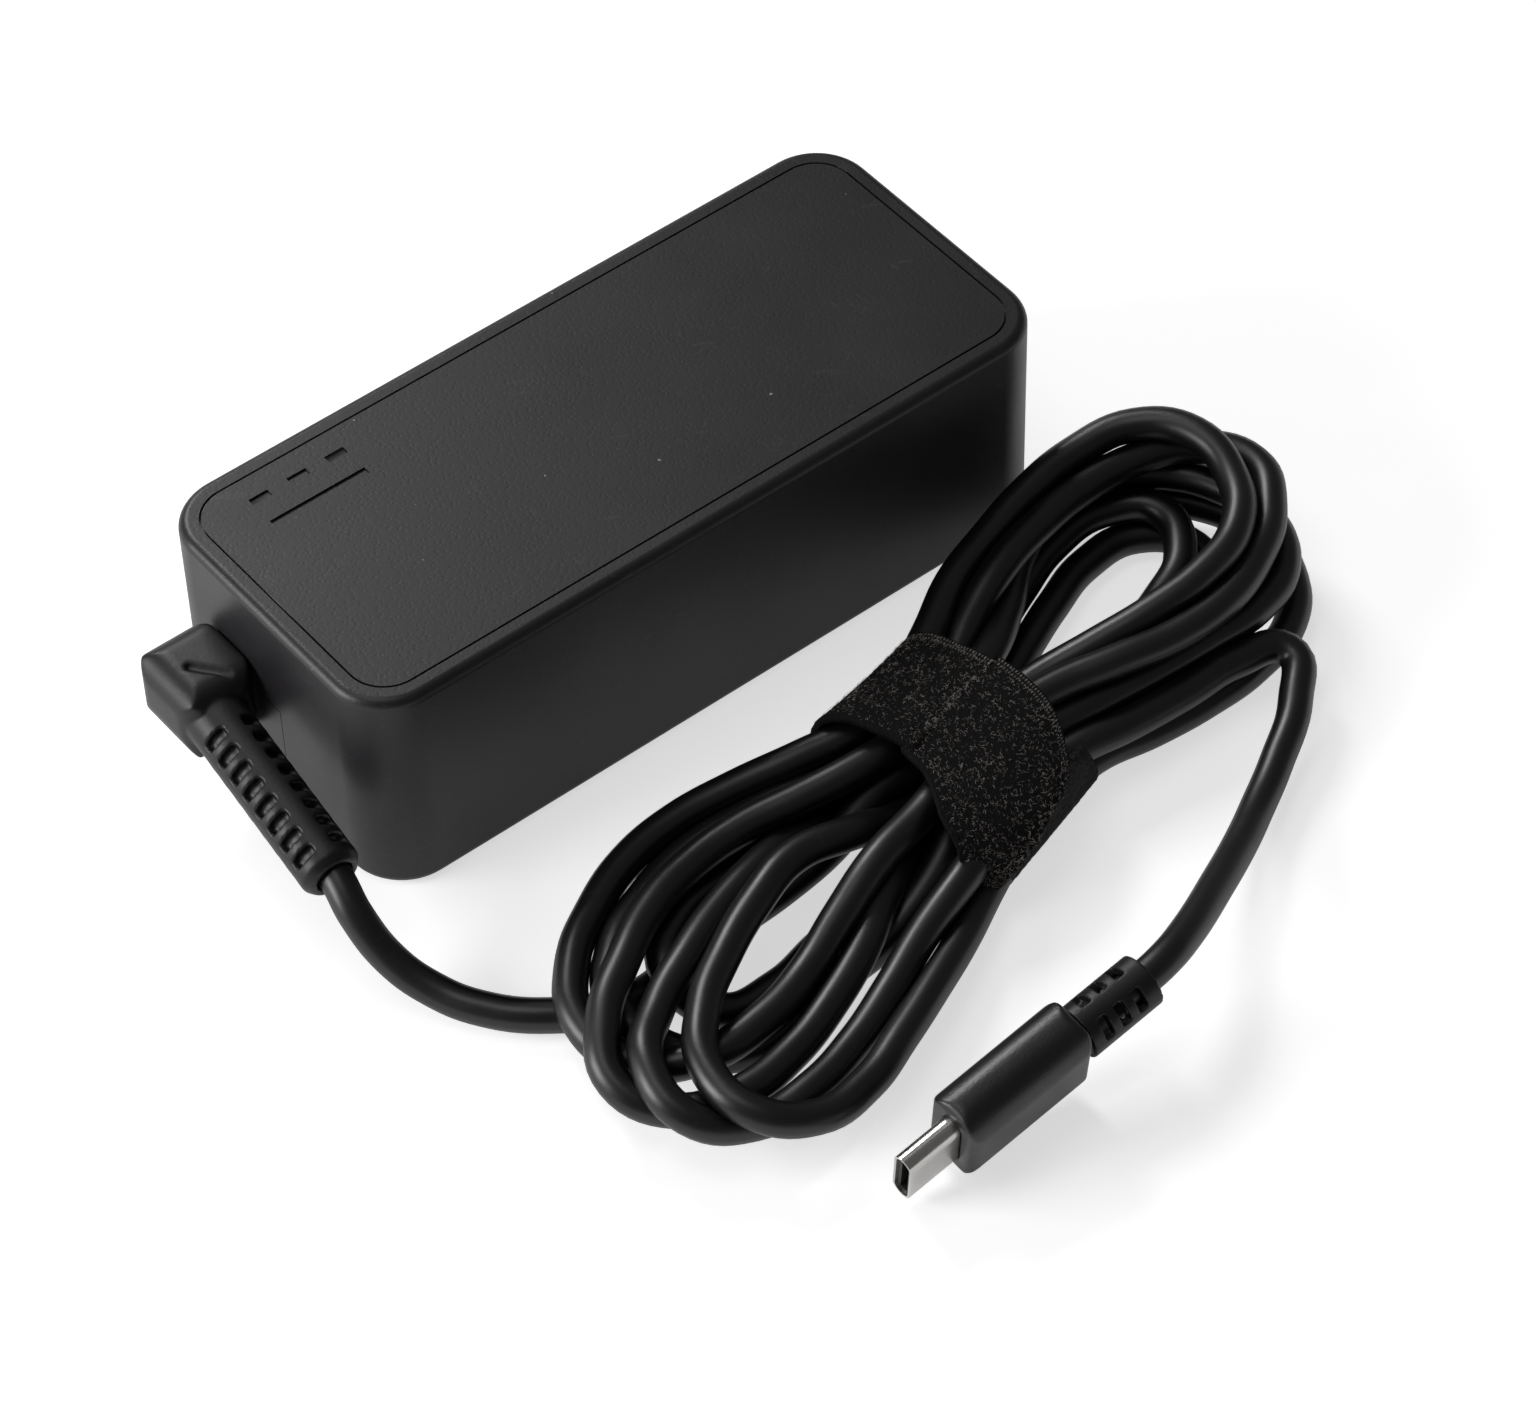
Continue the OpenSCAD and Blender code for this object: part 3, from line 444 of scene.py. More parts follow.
@dataclass(frozen=True)
class Finish:
    """One surface finish: a colour and gloss, and the fine detail that breaks both up.

    Colours are display values from 0 to 255. Sizes and depths are in millimetres. Mottle,
    gloss_spread, dust and scuffs say how strong those are, and turn how the pattern is turned.
    """

    name: str
    colour: Colour
    roughness: float
    metallic: float = 0.0
    specular: float = 0.5
    coat: float = 0.0
    grain_size: float = 0.3
    grain_depth: float = 0.01
    mottle_size: float = 9.0
    mottle: float = 0.06
    gloss_spread: float = 0.05
    dust: float = 0.0
    dust_spacing: float = 2.2
    scuffs: float = 0.0
    pattern: Pattern = Pattern.PLAIN
    # Second colour of a pattern; on wound turns it is painted shade in the grooves between them.
    accent_and_groove_shade: Colour = (0.0, 0.0, 0.0)
    pitch: float = 1.0
    turn: Point = (0.0, 0.0, 0.0)
    relief: float = 0.05

    def build(self, effects: Effects) -> bpy.types.Material:
        """Make the material.

        Args:
            effects: the shared shader groups.

        Returns:
            The material.
        """
        material, graph, shader = surface(self.name)
        where = graph.add("TexCoord").outputs["Object"]
        mottle = graph.place(effects.get(Effect.MOTTLE), Vector=where,
                             Size=self.mottle_size * MM, Amount=self.mottle)
        colour, height = self._figure(graph, effects, where)
        colour = graph.blend("MULTIPLY", 1.0, colour, mottle.outputs["Tone"])
        rough = graph.ramp(mottle.outputs["Mask"], 0.0, 1.0, self.roughness - self.gloss_spread,
                           self.roughness + self.gloss_spread)
        if self.scuffs:
            marks = graph.place(effects.get(Effect.SCUFF), Vector=where, Size=SCUFF_SIZE * MM,
                                Amount=self.scuffs).outputs["Mask"]
            lighter = linear(tuple(min(255.0, c + SCUFF_LIGHTER) for c in self.colour))
            colour = graph.blend("MIX", marks, colour, lighter)
        if self.dust:
            specks = graph.place(effects.get(Effect.DUST), Vector=where,
                                 Spacing=self.dust_spacing * MM, Share=self.dust).outputs["Mask"]
            colour = graph.blend("MIX", specks, colour, linear(DUST_COLOUR))
            dull = graph.math("MULTIPLY", specks, DUST_ROUGHER)
            rough = graph.math("ADD", rough, dull, clamp=True)
        grain = graph.place(effects.get(Effect.GRAIN), Vector=where, Size=self.grain_size * MM)
        bump = graph.add("Bump")
        graph.feed(bump, Strength=1.0, Distance=self.grain_depth * MM,
                   Height=grain.outputs["Height"])
        if height is not None:
            rise = graph.add("Bump")
            graph.feed(rise, Strength=1.0, Distance=self.relief * MM, Height=height,
                       Normal=bump.outputs["Normal"])
            bump = rise
        graph.feed(shader, Base_Color=colour, Roughness=rough, Metallic=self.metallic,
                   Normal=bump.outputs["Normal"], Specular_IOR_Level=self.specular,
                   Coat_Weight=self.coat, Coat_Roughness=COAT_ROUGHNESS)
        return material

    def _figure(self, graph: Graph, effects: Effects, where: Socket
                ) -> tuple[object, Socket | None]:
        """Add the finish's pattern.

        Args:
            graph: the material's nodes.
            effects: the shared shader groups.
            where: the coordinates the pattern follows.

        Returns:
            The patterned colour, and the pattern's height or None.
        """
        plain, accent_and_groove_shade = linear(self.colour), linear(self.accent_and_groove_shade)
        if self.pattern is Pattern.PLAIN:
            return plain, None
        mapped = graph.feed(graph.add("Mapping"), Vector=where,
                            Rotation=self.turn).outputs["Vector"]
        if self.pattern is Pattern.BRUSHED:
            node = graph.place(effects.get(Effect.BRUSH), Vector=mapped, Size=self.pitch * MM,
                               Amount=BRUSH_AMOUNT)
            return graph.blend("MULTIPLY", 1.0, plain, node.outputs["Tone"]), node.outputs["Height"]
        if self.pattern is Pattern.SPECKLED:
            spots = graph.noise(mapped, 1.0 / (self.pitch * MM), 3.0, 0.65)
            mask = graph.ramp(spots, *SPECKLE_EDGE)
            return graph.blend("MIX", mask, plain, accent_and_groove_shade), None
        # On wound turns the second colour is painted shade in the grooves between them.
        effect = Effect.WEAVE if self.pattern is Pattern.WOVEN else Effect.BANDS
        node = graph.place(effects.get(effect), Vector=mapped, Pitch=self.pitch * MM)
        return (graph.blend("MIX", node.outputs["Mask"], accent_and_groove_shade, plain),
                node.outputs["Height"])


@dataclass(frozen=True)
class StrapCloth:
    """Cloth of the cable strap, on the strap's own UV map: U across from 0 to 1, V along in metres.

    The pile side is a dense mat of loops between woven selvedges. The hook side is a lighter
    tape with fine upright stubs. Sizes are in millimetres.

    Attributes:
        shaded_ground: colour between the loops and between the selvedge's stitches; in the mat it
            is a painted shade where the pile is low.
        tip: colour of the loops' tips.
        selvedge: colour of the selvedge's stitches.
        thread: size of the mat's loops.
        pitch: distance between the woven threads.
        relief: how deep the mat is.
        width: width of the cloth.
        tuft: distance between tufts.
        edge: where the selvedge starts and is full, as shares of the width.
        stitch: length of a stitch along the selvedge, and distance between its rows.
    """

    name: str
    shaded_ground: Colour
    tip: Colour
    selvedge: Colour
    thread: float = 0.3
    pitch: float = 0.34
    relief: float = 0.3
    width: float = 16.0
    tuft: float = 0.5
    edge: tuple[float, float] = (0.925, 0.94)
    stitch: tuple[float, float] = (0.52, 0.62)

    def build(self, effects: Effects) -> bpy.types.Material:
        """Make the material.

        Args:
            effects: the shared shader groups.

        Returns:
            The material.
        """
        material, graph, shader = surface(self.name)
        laid = graph.add("UVMap", uv_map="cloth").outputs["UV"]
        flat = graph.vectors("MULTIPLY", laid, (self.width * MM, 1.0, 1.0))
        across, along = graph.parts(laid)[:2]
        mat = graph.noise(flat, 1.0 / (self.thread * MM), 3.0, 0.7)
        tufts = graph.feed(graph.add("TexVoronoi"), Vector=flat, Scale=1.0 / (self.tuft * MM))
        gaps = graph.ramp(tufts.outputs["Distance"], 0.0, 0.8, 1.1, 0.5)
        pile = graph.math("MULTIPLY", mat, gaps)
        weave = graph.place(effects.get(Effect.WEAVE), Vector=flat, Pitch=self.pitch * MM)
        edge = graph.ramp(across, *self.edge)
        mottle = graph.place(effects.get(Effect.MOTTLE), Vector=flat, Size=2.5 * MM, Amount=0.25)
        # Painted shade: the cloth darkens to its ground colour where the pile is low, between its
        # loops and tufts.
        shade = graph.ramp(pile, 0.25, 0.62)
        colour = graph.blend("MIX", shade, linear(self.shaded_ground), linear(self.tip))
        colour = graph.blend("MULTIPLY", 1.0, colour, mottle.outputs["Tone"])
        length, gap = self.stitch
        wave = graph.math("SINE", graph.math("MULTIPLY", along, math.tau / (length * MM)))
        rows = graph.math("SINE", graph.math("MULTIPLY", across, math.tau * self.width / gap))
        stitches = graph.math("MULTIPLY", graph.ramp(wave, 0.1, 0.6), graph.ramp(rows, -0.6, 0.2))
        thread = graph.blend("MIX", stitches, linear(self.shaded_ground), linear(self.selvedge))
        colour = graph.blend("MIX", edge, colour, thread)
        height = graph.math("ADD", graph.math("MULTIPLY", pile, graph.math("SUBTRACT", 1.0, edge)),
                            graph.math("MULTIPLY", weave.outputs["Height"], 0.3))
        bump = graph.feed(graph.add("Bump"), Strength=1.0, Distance=self.relief * MM, Height=height)
        graph.feed(shader, Base_Color=colour, Roughness=graph.ramp(pile, 0.2, 0.7, 0.75, 0.95),
                   Specular_IOR_Level=0.18, Normal=bump.outputs["Normal"])
        return material


@dataclass
class Palette:
    """Every finish of the adapter, made once by name."""

    effects: Effects = field(default_factory=Effects)
    made: dict[str, bpy.types.Material] = field(default_factory=dict)

    def get(self, finish: Finish | StrapCloth) -> bpy.types.Material:
        """Give a finish's material, made on its first use."""
        if finish.name not in self.made:
            self.made[finish.name] = finish.build(self.effects)
        return self.made[finish.name]


def metal(name: str, colour: Colour, roughness: float, pitch: float, relief: float = 0.002,
          grain_depth: float = 0.001, **more: object) -> Finish:
    """Describe a bare metal.

    Args:
        name: the finish's name.
        colour: its colour.
        roughness: its roughness.
        pitch: width of its drawn lines.
        relief: their depth.
        grain_depth: depth of the fine grain.
        **more: other fields of the finish.

    Returns:
        The finish.
    """
    return Finish(name, colour, roughness, metallic=1.0, grain_depth=grain_depth,
                  pattern=Pattern.BRUSHED, pitch=pitch, relief=relief, **more)


# Turns a pattern's X to point up
UPRIGHT = (0.0, math.pi / 2, 0.0)

CASE_PLASTIC = Finish("case_plastic", (25, 23, 26), 0.42, specular=0.46, grain_size=0.34,
                      grain_depth=0.014, mottle_size=16, mottle=0.05, gloss_spread=0.035,
                      dust=0.11, scuffs=0.12)
BOOT_RUBBER = Finish("boot_rubber", (17, 16, 17), 0.44, specular=0.4, grain_size=0.28,
                     grain_depth=0.012, mottle=0.08, dust=0.03, scuffs=0.08)
CORD_JACKET = Finish("cord_jacket", (7, 7, 7), 0.39, specular=0.62, grain_size=0.25,
                     grain_depth=0.004, mottle_size=14, mottle=0.1, gloss_spread=0.05,
                     dust=0.02, dust_spacing=3.2, scuffs=0.1)
GRIP_PLASTIC = Finish("grip_plastic", (14, 13, 15), 0.38, specular=0.6, grain_size=0.22,
                      grain_depth=0.02, mottle=0.06, dust=0.02, scuffs=0.08)
INLET_PLASTIC = Finish("inlet_plastic", (24, 24, 25), 0.42, grain_depth=0.008, dust=0.01)
TIP_STEEL = metal("tip_steel", (205, 203, 200), 0.24, 0.09, grain_size=0.2, mottle=0.05,
                  gloss_spread=0.06, turn=(0.0, 0.0, -0.031))
PIN_NICKEL = metal("pin_nickel", (190, 186, 176), 0.22, 0.08)
CONTACT_GOLD = metal("contact_gold", (212, 170, 92), 0.25, 0.06)
BOARD = Finish("board_laminate", (28, 84, 46), 0.42, coat=0.3, grain_depth=0.004,
               pattern=Pattern.WOVEN, accent_and_groove_shade=(22, 70, 38), pitch=0.5, relief=0.01)
DARK_MOULDING = Finish("dark_component", (30, 30, 31), 0.5, grain_size=0.15, grain_depth=0.008,
                       mottle=0.1)
FERRITE = Finish("ferrite", (58, 58, 60), 0.55, grain_size=0.2, grain_depth=0.02, mottle=0.14,
                 pattern=Pattern.SPECKLED, accent_and_groove_shade=(78, 78, 82), pitch=0.5)
COATED_CORE = Finish("coated_core", (86, 120, 62), 0.4, coat=0.2, grain_depth=0.01, mottle=0.1)
# The copper's and the tape's second colours are painted shade in the grooves between turns.
COPPER_WIRE = Finish("copper_wire", (176, 84, 40), 0.28, metallic=0.9, coat=0.5,
                     grain_depth=0.002, pattern=Pattern.WOUND, accent_and_groove_shade=(92, 38, 18), pitch=0.7,
                     relief=0.2)
WINDING_TAPE = Finish("winding_tape", (214, 176, 62), 0.3, coat=0.4, grain_size=1.2,
                      grain_depth=0.03, mottle=0.08, pattern=Pattern.WOUND,
                      accent_and_groove_shade=(188, 148, 46), pitch=3.2, relief=0.04, turn=UPRIGHT)
CAPACITOR_SLEEVE = Finish("capacitor_sleeve", (26, 28, 40), 0.3, coat=0.4, grain_size=0.8,
                          grain_depth=0.01, mottle=0.06)
FILM_CAPACITOR = Finish("film_capacitor", (196, 182, 92), 0.42, grain_size=0.5,
                        grain_depth=0.01, mottle=0.05)
CERAMIC_CAPACITOR = Finish("ceramic_capacitor", (64, 104, 178), 0.36, coat=0.3, grain_size=0.6,
                           grain_depth=0.02, mottle=0.08)
BARE_CAN = metal("bare_can", (190, 192, 194), 0.3, 0.12, 0.003, turn=UPRIGHT)
HEATSINK = metal("heatsink_metal", (176, 178, 180), 0.4, 0.2, 0.004, 0.002, scuffs=0.2)
SCREW_STEEL = metal("screw_steel", (150, 148, 144), 0.3, 0.1, grain_depth=0.002)
SPREADER_COPPER = metal("spreader_copper", (196, 118, 74), 0.35, 0.25, 0.003, 0.002,
                        mottle=0.12, scuffs=0.3)
INSULATION = Finish("insulation_film", (206, 204, 196), 0.35, coat=0.2, grain_size=2.0,
                    grain_depth=0.03, mottle=0.05)
THERMAL_RUBBER = Finish("thermal_rubber", (132, 150, 170), 0.6, grain_size=0.5,
                        grain_depth=0.02, mottle=0.06)
WIRE_JACKET = Finish("wire_jacket", (160, 34, 30), 0.38, grain_size=0.3, grain_depth=0.004,
                     mottle=0.08)
PILE_CLOTH = StrapCloth("strap_pile", (2, 2, 2), (13, 12, 12), (112, 107, 104))
HOOK_CLOTH = StrapCloth("strap_hooks", (26, 25, 26), (84, 80, 82), (60, 58, 60), thread=0.16,
                        pitch=0.22, relief=0.1)
# The loose loops are the pile's dark thread; their light grey colour is a painted glint.
FIBRE_GLINT = Finish("strap_fibre_glint", (150, 142, 138), 0.3, specular=0.7, grain_size=0.1,
               grain_depth=0.001, mottle_size=0.8, mottle=0.6, gloss_spread=0.1)


# Building


def dress(thing: bpy.types.Object, material: bpy.types.Material) -> bpy.types.Object:
    """Put one material on every slot of an object."""
    if not thing.material_slots:
        thing.data.materials.append(material)
    for slot in thing.material_slots:
        slot.material = material
    return thing


def stand(name: str, data: bpy.types.ID) -> bpy.types.Object:
    """Put a mesh, curve, lamp or camera into the scene.

    Args:
        name: the object's name.
        data: what it shows or does.

    Returns:
        The object.
    """
    thing = bpy.data.objects.new(name, data)
    bpy.context.scene.collection.objects.link(thing)
    return thing


def piece(name: str, form: bmesh.types.BMesh, slot: str, *materials: bpy.types.Material,
          replaced: Sequence[str] = ()) -> bpy.types.Object:
    """Turn a finished bmesh into a piece that rides on the adapter.

    Args:
        name: the piece's name.
        form: its shape, freed here.
        slot: the record's material slot; not used.
        *materials: its materials, by face index.
        replaced: CAD nodes that it stands for.

    Returns:
        The piece.
    """
    mesh = bpy.data.meshes.new(name)
    form.to_mesh(mesh)
    form.free()
    thing = stand(name, mesh)
    for material in materials:
        mesh.materials.append(material)
    join(thing, replaced)
    return thing


def join(thing: bpy.types.Object, replaced: Sequence[str] = ()) -> None:
    """Make a piece ride on the adapter, and log it.

    Args:
        thing: the piece.
        replaced: CAD nodes that it stands for.
    """
    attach(thing, BODY)
    if replaced:
        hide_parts(*replaced)
    log.info("%s made%s", thing.name, " for " + ", ".join(replaced) if replaced else "")


def merged(node: str) -> bmesh.types.BMesh:
    """Copy a CAD node's shape and join its loose triangles.

    Args:
        node: the node's name.

    Returns:
        The joined copy.
    """
    form = bmesh.new()
    form.from_mesh(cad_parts[node].data)
    bmesh.ops.remove_doubles(form, verts=form.verts, dist=0.002 * MM)
    bmesh.ops.dissolve_degenerate(form, edges=form.edges, dist=0.0005 * MM)
    return form


def flattened(node: str) -> bmesh.types.BMesh:
    """Copy a CAD node's shape with its flat faces whole.

    Args:
        node: the node's name.

    Returns:
        The joined copy, in which triangles that lie in one plane are one face.
    """
    form = merged(node)
    bmesh.ops.dissolve_limit(form, angle_limit=math.radians(0.2), verts=form.verts,
                             edges=form.edges)
    return form


def smooth_at(thing: bpy.types.Object, degrees: float) -> None:
    """Shade a piece smooth, with sharp edges where its faces turn by more than an angle."""
    thing.data.polygons.foreach_set("use_smooth", [True] * len(thing.data.polygons))
    thing.data.set_sharp_from_angle(angle=math.radians(degrees))
    flats = thing.modifiers.new("flat_faces_lead", "WEIGHTED_NORMAL")
    flats.mode = "FACE_AREA"
    flats.weight = 100
    flats.keep_sharp = True


def soften(thing: bpy.types.Object, voxel: float, rounds: int, amount: float = 0.6) -> None:
    """Round all edges of a rubber piece a little: a fine remesh and a few smoothing rounds.

    Args:
        thing: the piece.
        voxel: size of the remesh, in metres.
        rounds: how many smoothing rounds.
        amount: strength of a round.
    """
    remesh = thing.modifiers.new("even_mesh", "REMESH")
    remesh.mode = "VOXEL"
    remesh.voxel_size = voxel
    remesh.use_smooth_shade = True
    relax = thing.modifiers.new("round_edges", "SMOOTH")
    relax.factor = amount
    relax.iterations = rounds


@dataclass
class Viewpoint:
    """The camera.

    Attributes:
        place: where it stands, in metres.
        right: which way the picture's right points.
        down: which way the picture's lower edge points.
        forward: which way it looks.
        lens: its focal length in millimetres.
        sensor: width of its sensor in millimetres.
        clip: nearest and furthest distance that it sees, in metres.
    """

    place: Point = (-0.241273, -0.340816, 0.451788)
    right: Point = (0.77968982, -0.62588514, -0.01875006)
    down: Point = (-0.47850637, -0.57624581, -0.66254993)
    forward: Point = (0.40387552, 0.52555547, -0.74878303)
    lens: float = 127.83
    sensor: float = 36.0
    clip: tuple[float, float] = (0.01, 50.0)

    def build(self) -> bpy.types.Object:
        """Make the camera and look through it.

        Returns:
            The camera.
        """
        data = bpy.data.cameras.new("camera")
        data.lens = self.lens
        data.sensor_width = self.sensor
        data.clip_start, data.clip_end = self.clip
        camera = stand("camera", data)
        axes = (Vector(self.right), -Vector(self.down), -Vector(self.forward))
        turn = Matrix(axes).transposed().to_4x4()
        camera.matrix_world = Matrix.Translation(self.place) @ turn
        bpy.context.scene.camera = camera
        return camera


@dataclass(frozen=True)
class Lamp:
    """A square soft light that looks at the middle of the scene."""

    name: str
    place: Point
    power: float
    size: float

    def build(self) -> bpy.types.Object:
        """Make the lamp."""
        data = bpy.data.lights.new(self.name, "AREA")
        data.energy = self.power
        data.size = self.size
        lamp = stand(self.name, data)
        lamp.location = self.place
        aim = Vector(SCENE_MIDDLE) - Vector(self.place)
        lamp.rotation_euler = aim.to_track_quat("-Z", "Y").to_euler()
        return lamp


@dataclass
class Studio:
    """A plain pale floor, a pale surround and soft lamps."""

    floor_size: float = 14.0
    floor_drop: float = 0.05 * MM
    floor_colour: Colour = (222, 222, 222)
    floor_lift: float = 0.62
    floor_fade: tuple[float, float] = (0.25, 0.8)
    floor_shine: float = 0.36
    ambient: float = 0.12
    lamps: tuple[Lamp, ...] = (
        Lamp("lamp_left", (-0.6, 0.24, 0.25), 3.9, 0.34),
        Lamp("lamp_back", (0.1, 0.74, 0.68), 4.2, 0.3),
        Lamp("lamp_top", (-0.25, 0.1, 1.0), 1.4, 0.5),
    )

    def build(self) -> None:
        """Make the floor, the surround and the lamps."""
        bpy.context.scene.view_settings.view_transform = "Standard"
        self._floor()
        self._surround()
        for lamp in self.lamps:
            lamp.build()

    def _floor(self) -> None:
        """Make the floor: pale to the eye and in reflections, with the object's shadow on it."""
        form = bmesh.new()
        bmesh.ops.create_grid(form, x_segments=1, y_segments=1, size=self.floor_size / 2)
        bmesh.ops.translate(form, verts=form.verts, vec=(0.0, 0.0, -self.floor_drop))
        mesh = bpy.data.meshes.new("floor")
        form.to_mesh(mesh)
        form.free()
        stand("floor", mesh)
        material, graph, shader = surface("floor_paper")
        rays, seen = seen_rays(graph)
        place = graph.add("TexCoord").outputs["Object"]
        away = graph.feed(graph.add("VectorMath", operation="LENGTH"), Vector=place)
        white = graph.ramp(away.outputs["Value"], *self.floor_fade, self.floor_lift, 1.0)
        lift = graph.math("MULTIPLY", seen, white)
        shine = graph.math("MULTIPLY", rays["Is Glossy Ray"], self.floor_shine)
        graph.feed(shader, Base_Color=linear(self.floor_colour), Roughness=0.9,
                   Specular_IOR_Level=0.0, Emission_Color=(1.0, 1.0, 1.0, 1.0),
                   Emission_Strength=graph.math("ADD", lift, shine))
        mesh.materials.append(material)

    def _surround(self) -> None:
        """Make the world: white to the eye, softer as a light."""
        world = bpy.data.worlds.new("surround")
        world.use_nodes = True
        bpy.context.scene.world = world
        graph = Graph(world.node_tree)
        back = graph.add("Background")
        strength = graph.ramp(seen_rays(graph)[1], 0.0, 1.0, self.ambient, 1.0)
        graph.feed(back, Color=(1.0, 1.0, 1.0, 1.0), Strength=strength)
        graph.feed(graph.add("OutputWorld"), Surface=back.outputs["Background"])


@dataclass
class Bundle:
    """The coil's own frame: u along the bundle, v across it, z up, in millimetres."""

    middle: tuple[float, float] = (10.0, -47.0)
    turn: float = math.radians(17.3)

    def world(self, u: float, v: float, z: float) -> Vector:
        """Give a point of the bundle's frame in metres of the model's frame."""
        cos, sin = math.cos(self.turn), math.sin(self.turn)
        return Vector((self.middle[0] + u * cos - v * sin, self.middle[1] + u * sin + v * cos,
                       z)) * MM


# The free ends of the cord, as part.scad has them
LEAD = (
    (-53.1, -15, 12), (-53.4, -20.9, 11), (-53.9, -25, 8.9), (-53, -29.5, 5.2), (-51, -34, 2.9),
    (-48.6, -38.4, 2.1), (-45.6, -42.4, 2.1), (-41.6, -45.6, 2.1), (-36, -48.4, 2.1),
)
TAIL = (
    (26, -54.6, 6.3), (33, -54.7, 6.1), (40, -54.5, 6.1), (45.5, -54.4, 6), (48.6, -55.4, 5.9),
    (49.5, -57.4, 5.6), (48.3, -60.2, 5.2), (42.5, -65, 3.9), (38.1, -67.5, 3.3),
    (32.2, -70.9, 3.2), (27.6, -73.7, 4.2), (19.8, -78.1, 6.6), (11.1, -82.6, 9.2), (7, -84.1, 10),
    (3.6, -84.6, 9.9), (-0.7, -84.7, 9.3),
)


@dataclass(frozen=True)
class Fold:
    """One fold of the coil, in the bundle's frame.

    The cord widens from the waist to its first shoulder, turns back at the end and comes in
    by its last shoulder to its next place in the waist, which is given as v and z.
    """

    first: Point
    end: Point
    last: Point
    waist: tuple[float, float]


FOLDS = (
    Fold((36, -12, 13.5), (49, 2, 15), (27, 12.5, 11), (9.8, 8.8)),
    Fold((-30, 22, 6), (-52.5, 10, 5), (-37, -2.5, 6), (-2.5, 10)),
    Fold((33, -14.5, 11.5), (52, -5, 12), (31, 9, 11), (6.3, 7.6)),
    Fold((-30, 18.5, 5), (-48.5, 8, 4), (-36, -4, 2.2), (-5.5, 7.6)),
    Fold((38, -17, 7.5), (49.5, -5, 8), (36, 10.5, 8), (3.5, 10)),
    Fold((-30, 15, 8), (-57, 4, 7), (-44, -6.5, 4.5), (-2.5, 3.8)),
    Fold((35, -9.5, 2.2), (45, -2, 2.2), (35, 5.5, 2.3), (1.7, 3.5)),
    Fold((-26, 6, 9.8), (-53.5, -7, 7.5), (-42, -15.5, 5), (-10, 3.5)),
    Fold((38, -19, 2.8), (50, -4, 3.5), (31, 12, 2.6), (9.6, 3.5)),
    Fold((-33, 13.5, 4), (-42, 7, 3.5), (-33, 0.5, 2.2), (-6.3, 4)),
    Fold((35, -5.5, 5), (44.5, 2, 6.5), (35, 9.5, 4.5), (5.6, 3.5)),
    Fold((-31, 9, 8), (-56.5, -0.5, 7.5), (-41, -11, 3.7), (-9, 7)),
)


def span(points: Sequence[Vector]) -> float:
    """Measure a line of points.

    Args:
        points: the line.

    Returns:
        Its length.
    """
    return sum((b - a).length for a, b in zip(points, points[1:]))


